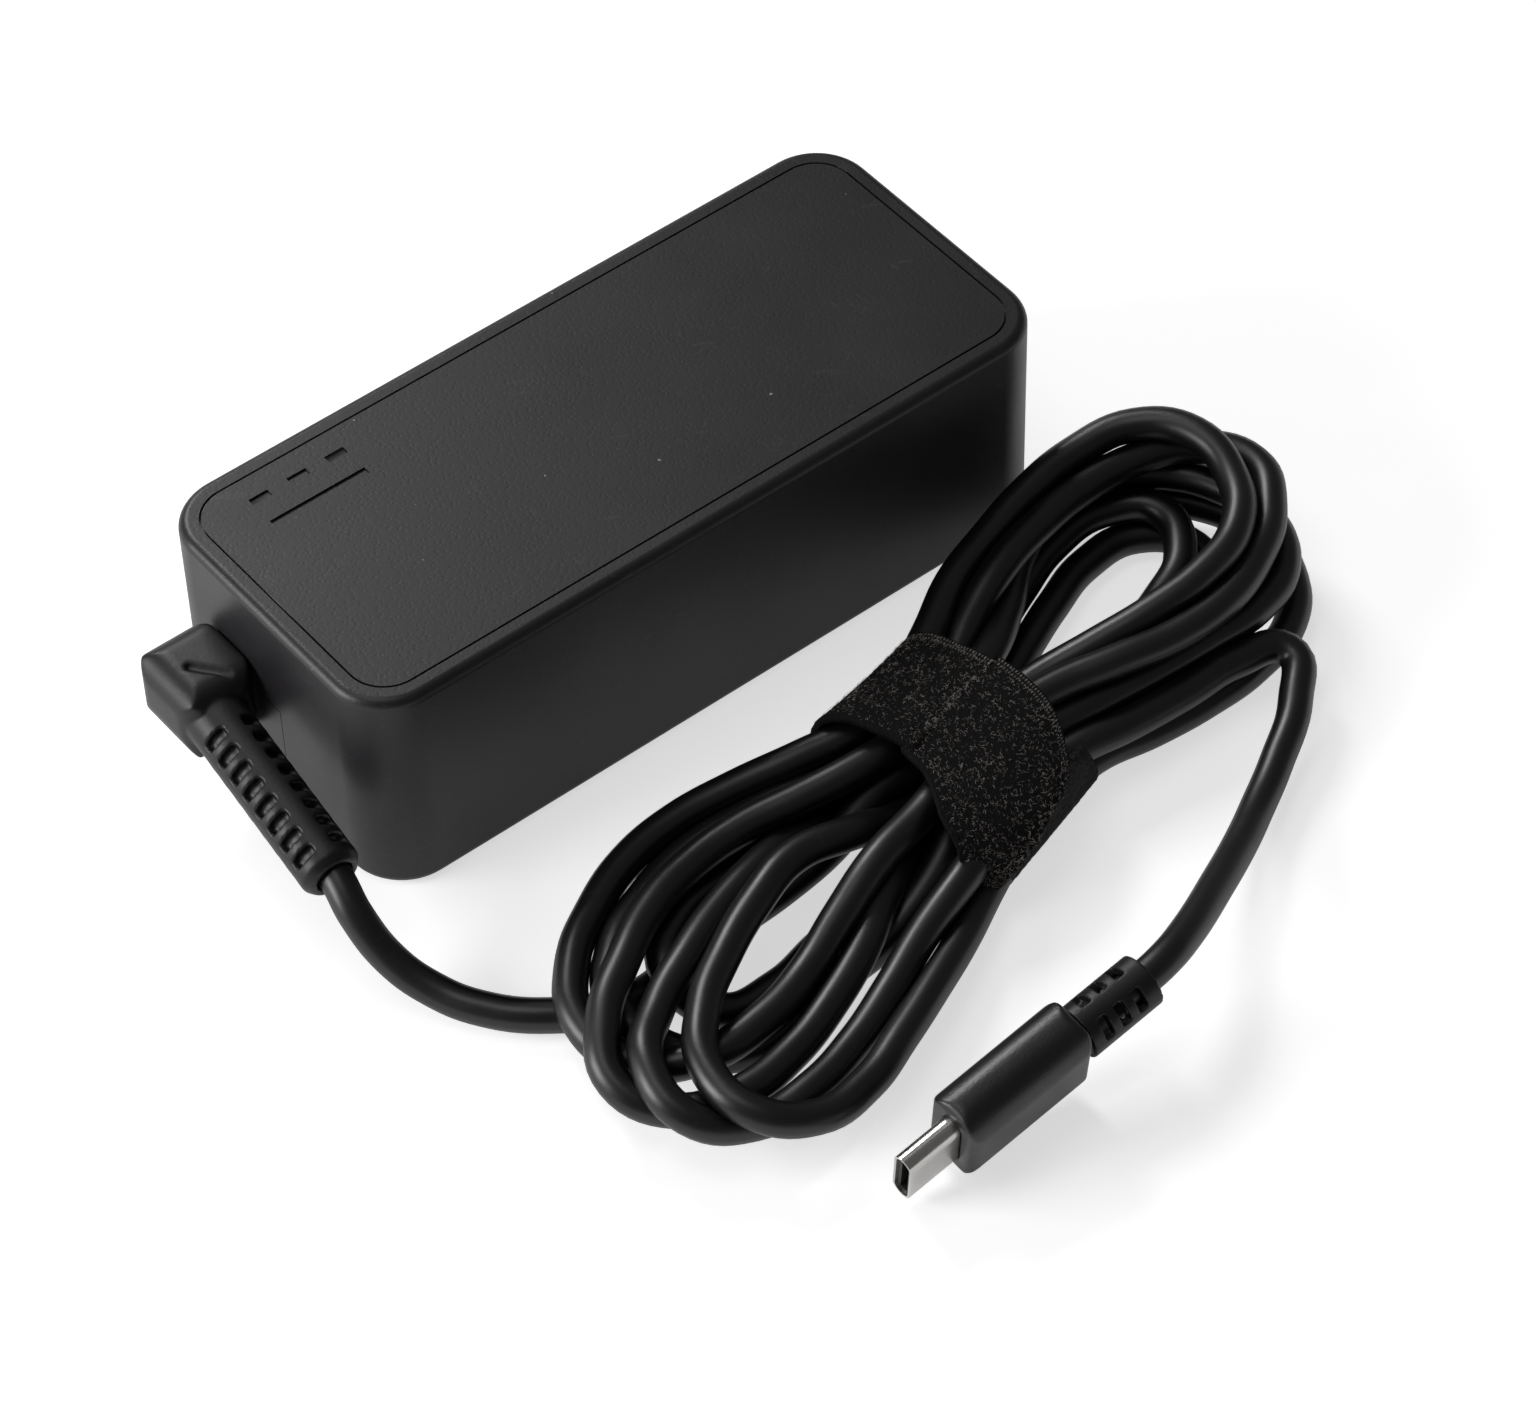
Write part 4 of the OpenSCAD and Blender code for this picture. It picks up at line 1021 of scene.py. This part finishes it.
@dataclass
class Coil:
    """The cord's coiled middle: worked out fold by fold, then settled turn against turn.

    Sizes are in millimetres. Settling goes in rounds. In each, points of different turns that
    lie closer than the spacing push each other apart, the cord evens out its bends, and what
    reaches into the floor, the case or the strap goes back out of it.

    Attributes:
        spacing: distance between the centrelines of two turns that touch.
        folds: the coil's folds, in the order in which the cord passes them.
        enter: v and z of the cord's first place in the waist.
        sway_parts: points between the waist and a shoulder.
        turn_parts: points between a shoulder and a fold's end.
        step: distance between the points that are settled.
        rounds: how many rounds.
        kin: how many points along the cord are too near to push each other.
        shove: share of a lack of space that each of two points makes up in a round.
        carry: how much a push is passed on along the cord.
        stiff: how much the cord straightens its own bends.
        pull: how much a point goes back to where it started.
        floor: lowest height of the centreline.
        wall: X and Y past which the case stands.
        strap: left and right end of the waist, and half its width.
        strap_heights: lowest and highest place in the waist.
        strap_reach: how far beside the waist a point is still drawn into it.
        knot_margin: points left out of the curve next to the cord's held ends.
        knot_every: the curve keeps one of this many points.
    """

    bundle: Bundle
    spacing: float = 3.9
    folds: tuple[Fold, ...] = FOLDS
    enter: tuple[float, float] = (1.2, 7.3)
    sway_parts: int = 8
    turn_parts: int = 5
    step: float = 2.5
    rounds: int = 500
    kin: int = 5
    shove: float = 0.45
    carry: float = 0.03
    stiff: float = 0.02
    pull: float = 0.01
    floor: float = 2.15
    wall: tuple[float, float] = (-46.0, -22.05)
    strap: tuple[float, float, float] = (-6.0, 9.0, 10.05)
    strap_heights: tuple[float, float] = (3.3, 10.1)
    strap_reach: float = 3.0
    knot_margin: int = 2
    knot_every: int = 3

    def _sway(self, waist: tuple[float, float], shoulder: Point) -> list[Vector]:
        """List the points from the waist to a shoulder.

        Args:
            waist: v and z of the cord's place in the waist.
            shoulder: the shoulder.

        Returns:
            The points, with both ends.
        """
        line = []
        for k in range(self.sway_parts + 1):
            gone = k / self.sway_parts
            ease = gone * gone * (3 - 2 * gone)
            line.append(Vector((shoulder[0] * gone, waist[0] + (shoulder[1] - waist[0]) * ease,
                                waist[1] + (shoulder[2] - waist[1]) * ease)))
        return line

    def _turn(self, start: Point, finish: Point, arriving: bool) -> list[Vector]:
        """List the points of a quarter of a fold's oval.

        Args:
            start: where the quarter starts.
            finish: where it ends.
            arriving: whether it comes up to the fold's end, or leaves it.

        Returns:
            The points after the start.
        """
        line = []
        for k in range(1, self.turn_parts + 1):
            gone = k / self.turn_parts
            angle = math.radians(90 * gone)
            out, over = math.sin(angle), 1 - math.cos(angle)
            along, across = (out, over) if arriving else (over, out)
            line.append(Vector((start[0] + (finish[0] - start[0]) * along,
                                start[1] + (finish[1] - start[1]) * across,
                                start[2] + (finish[2] - start[2]) * gone)))
        return line

    def outline(self) -> list[Vector]:
        """List the centreline's points, in millimetres of the model's frame."""
        line = []
        place = self.enter
        for fold in self.folds:
            line += self._sway(place, fold.first)[1:]
            line += self._turn(fold.first, fold.end, arriving=True)
            line += self._turn(fold.end, fold.last, arriving=False)
            line += self._sway(fold.waist, fold.last)[-2::-1]
            place = fold.waist
        return [self.bundle.world(*point) / MM for point in line]

    def _even(self, line: Sequence[Vector]) -> np.ndarray:
        """Space a line's points evenly.

        Args:
            line: the line.

        Returns:
            Points on it that lie one step apart, one in each row.
        """
        points = np.array(line)
        gone = np.concatenate(([0.0], np.linalg.norm(np.diff(points, axis=0), axis=1).cumsum()))
        places = np.linspace(0.0, gone[-1], round(gone[-1] / self.step) + 1)
        return np.stack([np.interp(places, gone, points[:, k]) for k in range(3)], axis=1)

    def _kept_in(self, points: np.ndarray) -> np.ndarray:
        """Keep the points above the floor, off the case and inside the strap.

        Args:
            points: the points, one in each row, changed here.

        Returns:
            The same points.
        """
        cos, sin = math.cos(self.bundle.turn), math.sin(self.bundle.turn)
        points[:, 2] = np.maximum(points[:, 2], self.floor)
        beside = (points[:, 0] > self.wall[0]) & (points[:, 1] > self.wall[1])
        points[beside, 1] = self.wall[1]
        away = points[:, :2] - self.bundle.middle
        u = away @ (cos, sin)
        v = away @ (-sin, cos)
        left, right, half = self.strap
        inside = (u > left) & (u < right) & (np.abs(v) < half + self.strap_reach)
        held = np.clip(v[inside], -half, half)
        points[inside, 2] = np.clip(points[inside, 2], *self.strap_heights)
        points[inside, 0] = self.bundle.middle[0] + u[inside] * cos - held * sin
        points[inside, 1] = self.bundle.middle[1] + u[inside] * sin + held * cos
        return points

    def settle(self, line: Sequence[Vector], start: Sequence[Vector],
               end: Sequence[Vector]) -> list[Vector]:
        """Lay a line so that its turns are round and lie a diameter apart.

        Args:
            line: the whole centreline's points.
            start: the first of them, which stay where they are.
            end: the last of them, which stay too.

        Returns:
            The points between the start and the end, in millimetres.
        """
        points = self._even(line)
        rest = points.copy()
        first = round(span(start) / self.step)
        last = len(points) - 1 - round(span(end) / self.step)
        order = np.arange(len(points))
        free = (order > first) & (order < last)
        strangers = np.abs(order[:, None] - order[None, :]) > self.kin
        for _ in range(self.rounds):
            square = (points ** 2).sum(axis=1)
            space = square[:, None] + square[None, :] - 2 * points @ points.T
            space = np.sqrt(np.maximum(space, TINY))
            push = np.where(strangers & (space < self.spacing),
                            self.shove * (self.spacing - space) / space, 0.0)
            moved = points + push.sum(axis=1)[:, None] * points - push @ points
            for shape, amount in ((moved - rest, self.carry), (moved, self.stiff)):
                bend = (shape[:-4] - 4 * shape[1:-3] + 6 * shape[2:-2] - 4 * shape[3:-1]
                        + shape[4:])
                moved[2:-2] -= amount * bend
            moved += self.pull * (rest - moved)
            moved = self._kept_in(moved)
            points[free] = moved[free]
        kept = slice(first + self.knot_margin, last + 1 - self.knot_margin, self.knot_every)
        return [Vector(point) for point in points[kept]]


@dataclass
class OutputCord:
    """The output cord: from the boot through the coil to the plug.

    Attributes:
        thickness: its diameter, in metres.
        length: its length, in metres.
        lead: points from the boot to the coil, in millimetres.
        tail: points from the coil to the plug, in millimetres.
        lead_held: how many of the lead's first points stay where they are.
        tail_held: how many of the tail's last points stay where they are.
    """

    palette: Palette
    coil: Coil
    thickness: float = 3.9 * MM
    length: float = 1.54
    lead: tuple[Point, ...] = LEAD
    tail: tuple[Point, ...] = TAIL
    lead_held: int = 5
    tail_held: int = 8

    def route(self) -> list[Vector]:
        """List the points of the centreline, from the boot to the plug, in millimetres."""
        lead = [Vector(point) for point in self.lead]
        tail = [Vector(point) for point in self.tail]
        start, end = lead[:self.lead_held], tail[-self.tail_held:]
        line = [*lead, *self.coil.outline(), *tail]
        return [*start, *self.coil.settle(line, start, end), *end]

    def build(self, riders: Sequence[object]) -> bpy.types.Object:
        """Lay the cord.

        Args:
            riders: the pieces and nodes that sit on the cord; not used.

        Returns:
            The cord.
        """
        curve = bpy.data.curves.new("output_cord", "CURVE")
        curve.dimensions = "3D"
        curve.bevel_depth = self.thickness / 2
        curve.bevel_resolution = 5
        curve.resolution_u = 7
        curve.use_fill_caps = True
        spline = curve.splines.new("BEZIER")
        points = self.route()
        spline.bezier_points.add(len(points) - 1)
        for knot, place in zip(spline.bezier_points, points):
            knot.co = place * MM
            knot.handle_left_type = knot.handle_right_type = "AUTO"
        curve.materials.append(self.palette.get(CORD_JACKET))
        cord = stand("output_cord", curve)
        join(cord, ("cord_lead", "cord_hank", "cord_tail"))
        return cord


@dataclass(frozen=True)
class Loops:
    """The pile's loose loops, which stand on the strap's cloth. Sizes are in millimetres.

    Attributes:
        count: how many are tried.
        seed: start of their random draws.
        along: first and last place along the strip, from 0 to 1.
        across: first and last place across it.
        lowest: height under which there are none.
        sink: how far their feet lie off the cloth's face.
        lean: how far they lean, in radians.
        sizes: smallest and largest scale.
        thread: radius of their thread.
        sides: flat sides of the thread.
        bow: radius of a loop.
        rise: how far a loop winds to the side.
        sweep: angle of a loop.
        parts: straight parts of a loop.
    """

    count: int = 5200
    seed: int = 11
    along: tuple[float, float] = (0.3, 0.995)
    across: tuple[float, float] = (0.03, 0.97)
    lowest: float = 1.6
    sink: float = 0.06
    lean: float = 0.9
    sizes: tuple[float, float] = (0.6, 1.35)
    thread: float = 0.014
    sides: int = 3
    bow: float = 0.13
    rise: float = 0.03
    sweep: float = math.radians(230)
    parts: int = 6

    def curl(self) -> bpy.types.Mesh:
        """Make one loose loop: a thin arc of thread that stands on the cloth.

        Returns:
            Its mesh.
        """
        form = bmesh.new()
        upright = Matrix.Rotation(math.pi / 2, 3, "X")
        made = bmesh.ops.create_circle(form, cap_ends=False, segments=self.sides,
                                       radius=self.thread * MM)
        bmesh.ops.rotate(form, verts=made["verts"], cent=(0, 0, 0), matrix=upright)
        bmesh.ops.translate(form, verts=made["verts"], vec=(self.bow * MM, 0.0, 0.0))
        bmesh.ops.spin(form, geom=form.edges[:], cent=(0, 0, 0), axis=(0, 0, 1),
                       dvec=(0, 0, self.rise * MM), angle=self.sweep, steps=self.parts,
                       use_merge=False)
        bmesh.ops.rotate(form, verts=form.verts, cent=(0, 0, 0), matrix=upright)
        bmesh.ops.recalc_face_normals(form, faces=form.faces)
        mesh = bpy.data.meshes.new("curl")
        form.to_mesh(mesh)
        form.free()
        return mesh


Rails = tuple[list[Vector], list[Vector], list[Vector]]
Rows = tuple[tuple[float, float], ...]


@dataclass
class CableStrap:
    """The hook-and-loop strap: once round the coil's waist, and its end laid over its start.

    All sizes are in millimetres of the bundle's frame. The strap is a strip that starts on the
    front of the bundle, passes under it and up its back, and comes over the top. Its end skews
    to the left on the way down the front.

    Attributes:
        half: half the ring's width.
        low: lowest height of the ring.
        high: highest height of the ring.
        heart: the ring's middle.
        start: angle where the strip starts, 0 at the top and -90 at the front.
        finish: angle where its end leaves the ring.
        left_edge: u of its left edge, by degrees from the start.
        right_edge: u of its right edge.
        lift: how far it lies outside the ring.
        bulge: how much further its left edge stands out.
        guides_round: guide points round the ring.
        length: length of the strip in metres, for its cloth.
        along: rows of the mesh along the strip.
        across: rows across it.
        hook_share: share of its length that is the hook side.
        end_share: share of its length over which its end is round.
        end_draw: how much of its width goes there.
        end_keep: square of the least share of its width.
        fuzz: how uneven the cloth is.
        flap: left, middle and right guide points of the end, past the ring.
    """

    palette: Palette
    bundle: Bundle
    half: float = 12.1
    low: float = 1.2
    high: float = 12.1
    top_round: float = 5.0
    foot_round: float = 2.4
    heart: Point = (2.0, 0.0, 6.6)
    thickness: float = 0.8
    start: float = -76.0
    finish: float = -352.0
    left_edge: Rows = ((0.0, -9.2), (60.0, -8.6), (130.0, -7.6), (210.0, -7.4), (276.0, -6.9))
    right_edge: Rows = ((0.0, 6.6), (24.0, 8.6), (60.0, 9.3), (130.0, 9.2), (276.0, 8.9))
    lift: Rows = ((0.0, 0.0), (40.0, 0.3), (190.0, 0.4), (256.0, 1.3))
    bulge: Rows = ((150.0, 0.0), (215.0, 1.5), (276.0, 0.5))
    guides_round: int = 46
    length: float = 0.105
    along: int = 300
    across: int = 44
    samples: int = 600
    hook_share: float = 0.34
    end_share: float = 0.035
    end_draw: float = 0.9
    end_keep: float = 0.05
    fuzz: float = 0.1
    seed: int = 5
    loops: Loops = Loops()
    flap: tuple[tuple[Point, Point, Point], ...] = (
        ((-7.4, 2.2, 13.6), (1.2, 1.7, 13.6), (9.6, 0.4, 13.3)),
        ((-8.6, -1.2, 13.5), (0.0, -2.8, 13.5), (8.5, -4.2, 13.2)),
        ((-10.3, -3.6, 12.9), (-1.6, -6.4, 13.2), (7.1, -7.6, 12.6)),
        ((-11.8, -5.5, 12.0), (-3.8, -9.5, 12.3), (4.4, -10.7, 11.5)),
        ((-12.9, -8.0, 10.2), (-6.0, -12.5, 10.5), (1.2, -13.1, 10.5)),
        ((-13.3, -9.0, 8.0), (-8.0, -13.3, 8.8), (-4.1, -13.9, 9.9)),
        ((-13.5, -9.5, 6.0), (-10.2, -13.0, 6.7), (-8.2, -13.7, 8.0)),
        ((-13.2, -9.9, 4.4), (-12.1, -11.9, 4.3), (-10.9, -12.9, 5.3)),
    )

    def _ring(self, degrees: float, lift: float) -> tuple[float, float]:
        """Find where a ray from the waist's middle meets the ring.

        Args:
            degrees: 0 at the top, -90 at the front, -180 below, -270 at the back.
            lift: how far outside the bundle.

        Returns:
            The point's v and z.
        """
        middle = (self.low + self.high) / 2
        tall = (self.high - self.low) / 2
        side, up = math.sin(math.radians(degrees)), math.cos(math.radians(degrees))
        near, far = 0.0, 30.0
        corner = self.top_round if up > 0 else self.foot_round
        for _ in range(30):
            reach = (near + far) / 2
            a = abs(side * reach) - self.half + corner
            b = abs(up * reach) - tall + corner
            out = math.hypot(max(a, 0.0), max(b, 0.0)) + min(max(a, b), 0.0) - corner - lift
            near, far = (reach, far) if out < 0 else (near, reach)
        return side * near, middle + up * near

    def guides(self) -> Rails:
        """List the strip's guide points.

        Returns:
            Those of its left edge, its middle and its right edge, from start to end.
        """
        rails: Rails = ([], [], [])
        for k in range(self.guides_round + 1):
            angle = self.start + (self.finish - self.start) * k / self.guides_round
            gone = self.start - angle
            lift, bulge = between(gone, self.lift), between(gone, self.bulge)
            left, right = between(gone, self.left_edge), between(gone, self.right_edge)
            for rail, u, more in zip(rails, (left, (left + right) / 2, right),
                                     (bulge, bulge / 3, 0.0)):
                rail.append(Vector((u, *self._ring(angle, lift + more))))
        for row in self.flap:
            for rail, point in zip(rails, row):
                rail.append(Vector(point))
        return rails

    def surface(self, rails: Rails, place: float, across: float) -> Vector:
        """Read the strip's middle surface.

        Args:
            rails: the three guides.
            place: along the strip, from 0 to 1.
            across: from 0 at the left edge to 1 at the right.

        Returns:
            The point in the bundle's frame.
        """
        at = place * (len(rails[0]) - 1)
        left, mid, right = (through(rail, at) for rail in rails)
        t = across
        return (left * (2 * (t - 0.5) * (t - 1)) + mid * (4 * t * (1 - t))
                + right * (2 * t * (t - 0.5)))

    def _spread(self, rails: Rails) -> list[float]:
        """List the even places along the strip, so that its rows are equally far apart.

        Args:
            rails: the strip's guides.

        Returns:
            The rows' places, from 0 to 1.
        """
        line = [self.surface(rails, k / self.samples, 0.5) for k in range(self.samples + 1)]
        gone = [0.0]
        for a, b in zip(line, line[1:]):
            gone.append(gone[-1] + (b - a).length)
        rows = [(g, k / self.samples) for k, g in enumerate(gone)]
        return [between(gone[-1] * k / self.along, rows) for k in range(self.along + 1)]

    def build(self) -> list[bpy.types.Object]:
        """Make the strap and its loose fibres.

        Returns:
            Both pieces.
        """
        rails = self.guides()
        places = self._spread(rails)
        form = bmesh.new()
        bmesh.ops.create_grid(form, x_segments=self.across, y_segments=self.along, size=0.5)
        cloth = form.loops.layers.uv.new("cloth")
        for face in form.faces:
            for loop in face.loops:
                x, y = loop.vert.co.x + 0.5, loop.vert.co.y + 0.5
                loop[cloth].uv = (x, y * self.length)
            face.material_index = 1 if face.calc_center_median().y + 0.5 < self.hook_share else 0
            face.smooth = True
        rng = random.Random(self.seed)
        for vert in form.verts:
            x, y = vert.co.x + 0.5, vert.co.y + 0.5
            row = y * self.along
            index = min(int(row), self.along - 1)
            place = places[index] + (places[index + 1] - places[index]) * (row - index)
            point = self.surface(rails, place, self._rounded(x, y))
            vert.co = self.bundle.world(*point)
        bmesh.ops.recalc_face_normals(form, faces=form.faces)
        self._face_out(form)
        form.normal_update()
        for vert in form.verts:
            vert.co += vert.normal * (rng.random() - 0.5) * self.fuzz * MM
        strap = piece("cable_strap", form, "strap_fabric", self.palette.get(PILE_CLOTH),
                      self.palette.get(HOOK_CLOTH), replaced=("cord_strap",))
        shell = strap.modifiers.new("thickness", "SOLIDIFY")
        shell.thickness = self.thickness * MM
        shell.offset = 0.0
        return [strap, self._fibres(rails, places)]

    def _rounded(self, x: float, y: float) -> float:
        """Draw the strip's sides in near its end, so that the end is round.

        Args:
            x: place across the strip, from 0 to 1.
            y: place along it, from 0 to 1.

        Returns:
            The place across that takes x's part.
        """
        reach = max(0.0, (y - 1.0 + self.end_share) / self.end_share)
        keep = math.sqrt(max(self.end_keep, 1.0 - reach * reach * self.end_draw))
        return 0.5 + (x - 0.5) * keep

    def _face_out(self, form: bmesh.types.BMesh) -> None:
        """Turn the strip's faces outwards, away from the waist's middle."""
        middle = self.bundle.world(*self.heart)
        out = sum((f.calc_center_median() - middle).dot(f.normal) for f in form.faces)
        if out < 0:
            bmesh.ops.reverse_faces(form, faces=form.faces)

    def _fibres(self, rails: Rails, places: list[float]) -> bpy.types.Object:
        """Scatter the pile's loose loops over the outside.

        Args:
            rails: the strip's guides.
            places: the strip's even rows.

        Returns:
            The fibres, one piece.
        """
        loops = self.loops
        rng = random.Random(loops.seed)
        curl = loops.curl()
        form = bmesh.new()
        for _ in range(loops.count):
            y = rng.uniform(*loops.along)
            x = rng.uniform(*loops.across)
            place = places[min(int(y * self.along), self.along)]
            here = self.surface(rails, place, self._rounded(x, y))
            ahead = self.surface(rails, min(place + 0.004, 1.0), self._rounded(x, y))
            aside = self.surface(rails, place, self._rounded(min(x + 0.03, 1.0), y))
            behind = self.surface(rails, max(place - 0.004, 0.0), self._rounded(x, y))
            out = (ahead - behind).cross(aside - here)
            if out.length < TINY or here.z < loops.lowest:
                continue
            out.normalize()
            if out.dot(here - Vector(self.heart)) < 0:
                out.negate()
            height = self.thickness / 2 + rng.uniform(-loops.sink, loops.sink)
            spot = self.bundle.world(*(here + out * height))
            lean = (Matrix.Rotation(self.bundle.turn, 4, "Z")
                    @ out.to_track_quat("Z", "Y").to_matrix().to_4x4())
            twist = (Matrix.Rotation(rng.uniform(0, math.tau), 4, "Z")
                     @ Matrix.Rotation(rng.gauss(0, loops.lean), 4, "X"))
            size = rng.uniform(*loops.sizes)
            mesh = curl.copy()
            mesh.transform(Matrix.Translation(spot) @ lean @ twist @ Matrix.Scale(size, 4))
            form.from_mesh(mesh)
            bpy.data.meshes.remove(mesh)
        bpy.data.meshes.remove(curl)
        for face in form.faces:
            face.smooth = True
        return piece("strap_fibres", form, "strap_fabric", self.palette.get(FIBRE_GLINT))


@dataclass
class Moulding:
    """Rigid mouldings with the CAD's own shape, shaded smooth up to a crease.

    Attributes:
        crease: angle from which an edge looks sharp, in degrees.
        rows: name, CAD node, finish and material slot of each.
    """

    palette: Palette
    crease: float = 32.0
    rows: tuple[tuple[str, str, Finish, str], ...] = ()

    def build(self) -> list[bpy.types.Object]:
        """Make the mouldings.

        Returns:
            Every one of them.
        """
        made = []
        for name, node, finish, slot in self.rows:
            thing = piece(name, flattened(node), slot, self.palette.get(finish), replaced=(node,))
            smooth_at(thing, self.crease)
            made.append(thing)
        return made


@dataclass
class Case(Moulding):
    """The case: its deep shell and the base plate that closes it."""

    rows: tuple[tuple[str, str, Finish, str], ...] = (
        ("shell_moulding", "case_shell", CASE_PLASTIC, "case_plastic"),
        ("base_moulding", "base_plate", CASE_PLASTIC, "case_plastic"),
    )


@dataclass
class Inlet(Moulding):
    """The three-pole mains inlet in the far end wall: its housing and its pins."""

    rows: tuple[tuple[str, str, Finish, str], ...] = (
        ("inlet_moulding", "inlet_body", INLET_PLASTIC, "case_plastic"),
        ("inlet_contacts", "inlet_pins", PIN_NICKEL, "pin_metal"),
    )


@dataclass
class CordBoot:
    """The angled strain relief that carries the cord out of the case's end wall."""

    palette: Palette
    voxel: float = 0.17 * MM
    rounds: int = 16

    def build(self) -> bpy.types.Object:
        """Make the boot.

        Returns:
            The piece.
        """
        thing = piece("boot_moulding", merged("cord_boot"), "cord_rubber",
                      self.palette.get(BOOT_RUBBER), replaced=("cord_boot",))
        soften(thing, self.voxel, self.rounds)
        return thing


@dataclass
class Plug:
    """The plug: its ribbed relief, its grip and its metal tip with the contacts inside."""

    palette: Palette
    voxel: float = 0.14 * MM
    rounds: int = 3
    grip_rounds: int = 26
    inside: tuple[tuple[str, Finish], ...] = (
        ("plug_shell", TIP_STEEL), ("plug_liner", DARK_MOULDING), ("plug_contacts", CONTACT_GOLD),
        ("plug_latches", PIN_NICKEL), ("plug_board", BOARD),
    )

    def build(self) -> list[bpy.types.Object]:
        """Make the plug's pieces and dress the ones kept.

        Returns:
            Every piece of the plug.
        """
        made = []
        for name, node, finish, slot, rounds in (
            ("relief_moulding", "plug_relief", BOOT_RUBBER, "cord_rubber", self.rounds),
            ("grip_moulding", "plug_body", GRIP_PLASTIC, "case_plastic", self.grip_rounds),
        ):
            thing = piece(name, merged(node), slot, self.palette.get(finish), replaced=(node,))
            soften(thing, self.voxel, rounds)
            made.append(thing)
        for node, finish in self.inside:
            made.append(dress(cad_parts[node], self.palette.get(finish)))
            log.info("%s dressed", node)
        return made


@dataclass
class Circuit:
    """The board and everything on it, inside the case."""

    palette: Palette
    parts: tuple[tuple[str, Finish], ...] = (
        ("main_board", BOARD), ("fuse", DARK_MOULDING), ("x_capacitor", FILM_CAPACITOR),
        ("choke_core", COATED_CORE), ("choke_windings", COPPER_WIRE),
        ("bridge_rectifier", DARK_MOULDING), ("bulk_capacitors", CAPACITOR_SLEEVE),
        ("primary_heatsink", HEATSINK), ("primary_switch", DARK_MOULDING),
        ("heatsink_screw", SCREW_STEEL), ("transformer_core", FERRITE),
        ("transformer_bobbin", DARK_MOULDING), ("transformer_winding", WINDING_TAPE),
        ("y_capacitor", CERAMIC_CAPACITOR), ("optocoupler", DARK_MOULDING),
        ("control_chips", DARK_MOULDING), ("output_switch", DARK_MOULDING),
        ("output_capacitors", BARE_CAN), ("thermal_pad", THERMAL_RUBBER),
        ("insulation_sheet", INSULATION), ("heat_spreader", SPREADER_COPPER),
        ("output_wires", WIRE_JACKET),
    )

    def build(self) -> None:
        """Dress every part of the circuit."""
        for node, finish in self.parts:
            dress(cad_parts[node], self.palette.get(finish))
            log.info("%s dressed", node)


def main() -> None:
    """Build the adapter and its studio, in order."""
    logging.basicConfig(level=logging.INFO, format="%(name)s: %(message)s")
    palette = Palette()
    bundle = Bundle()
    Viewpoint().build()
    boot = CordBoot(palette).build()
    strap = CableStrap(palette, bundle).build()
    plug = Plug(palette).build()
    OutputCord(palette, Coil(bundle)).build([boot, *strap, *plug])
    Case(palette).build()
    Inlet(palette).build()
    Circuit(palette).build()
    Studio().build()


if __name__ == "__main__":
    main()
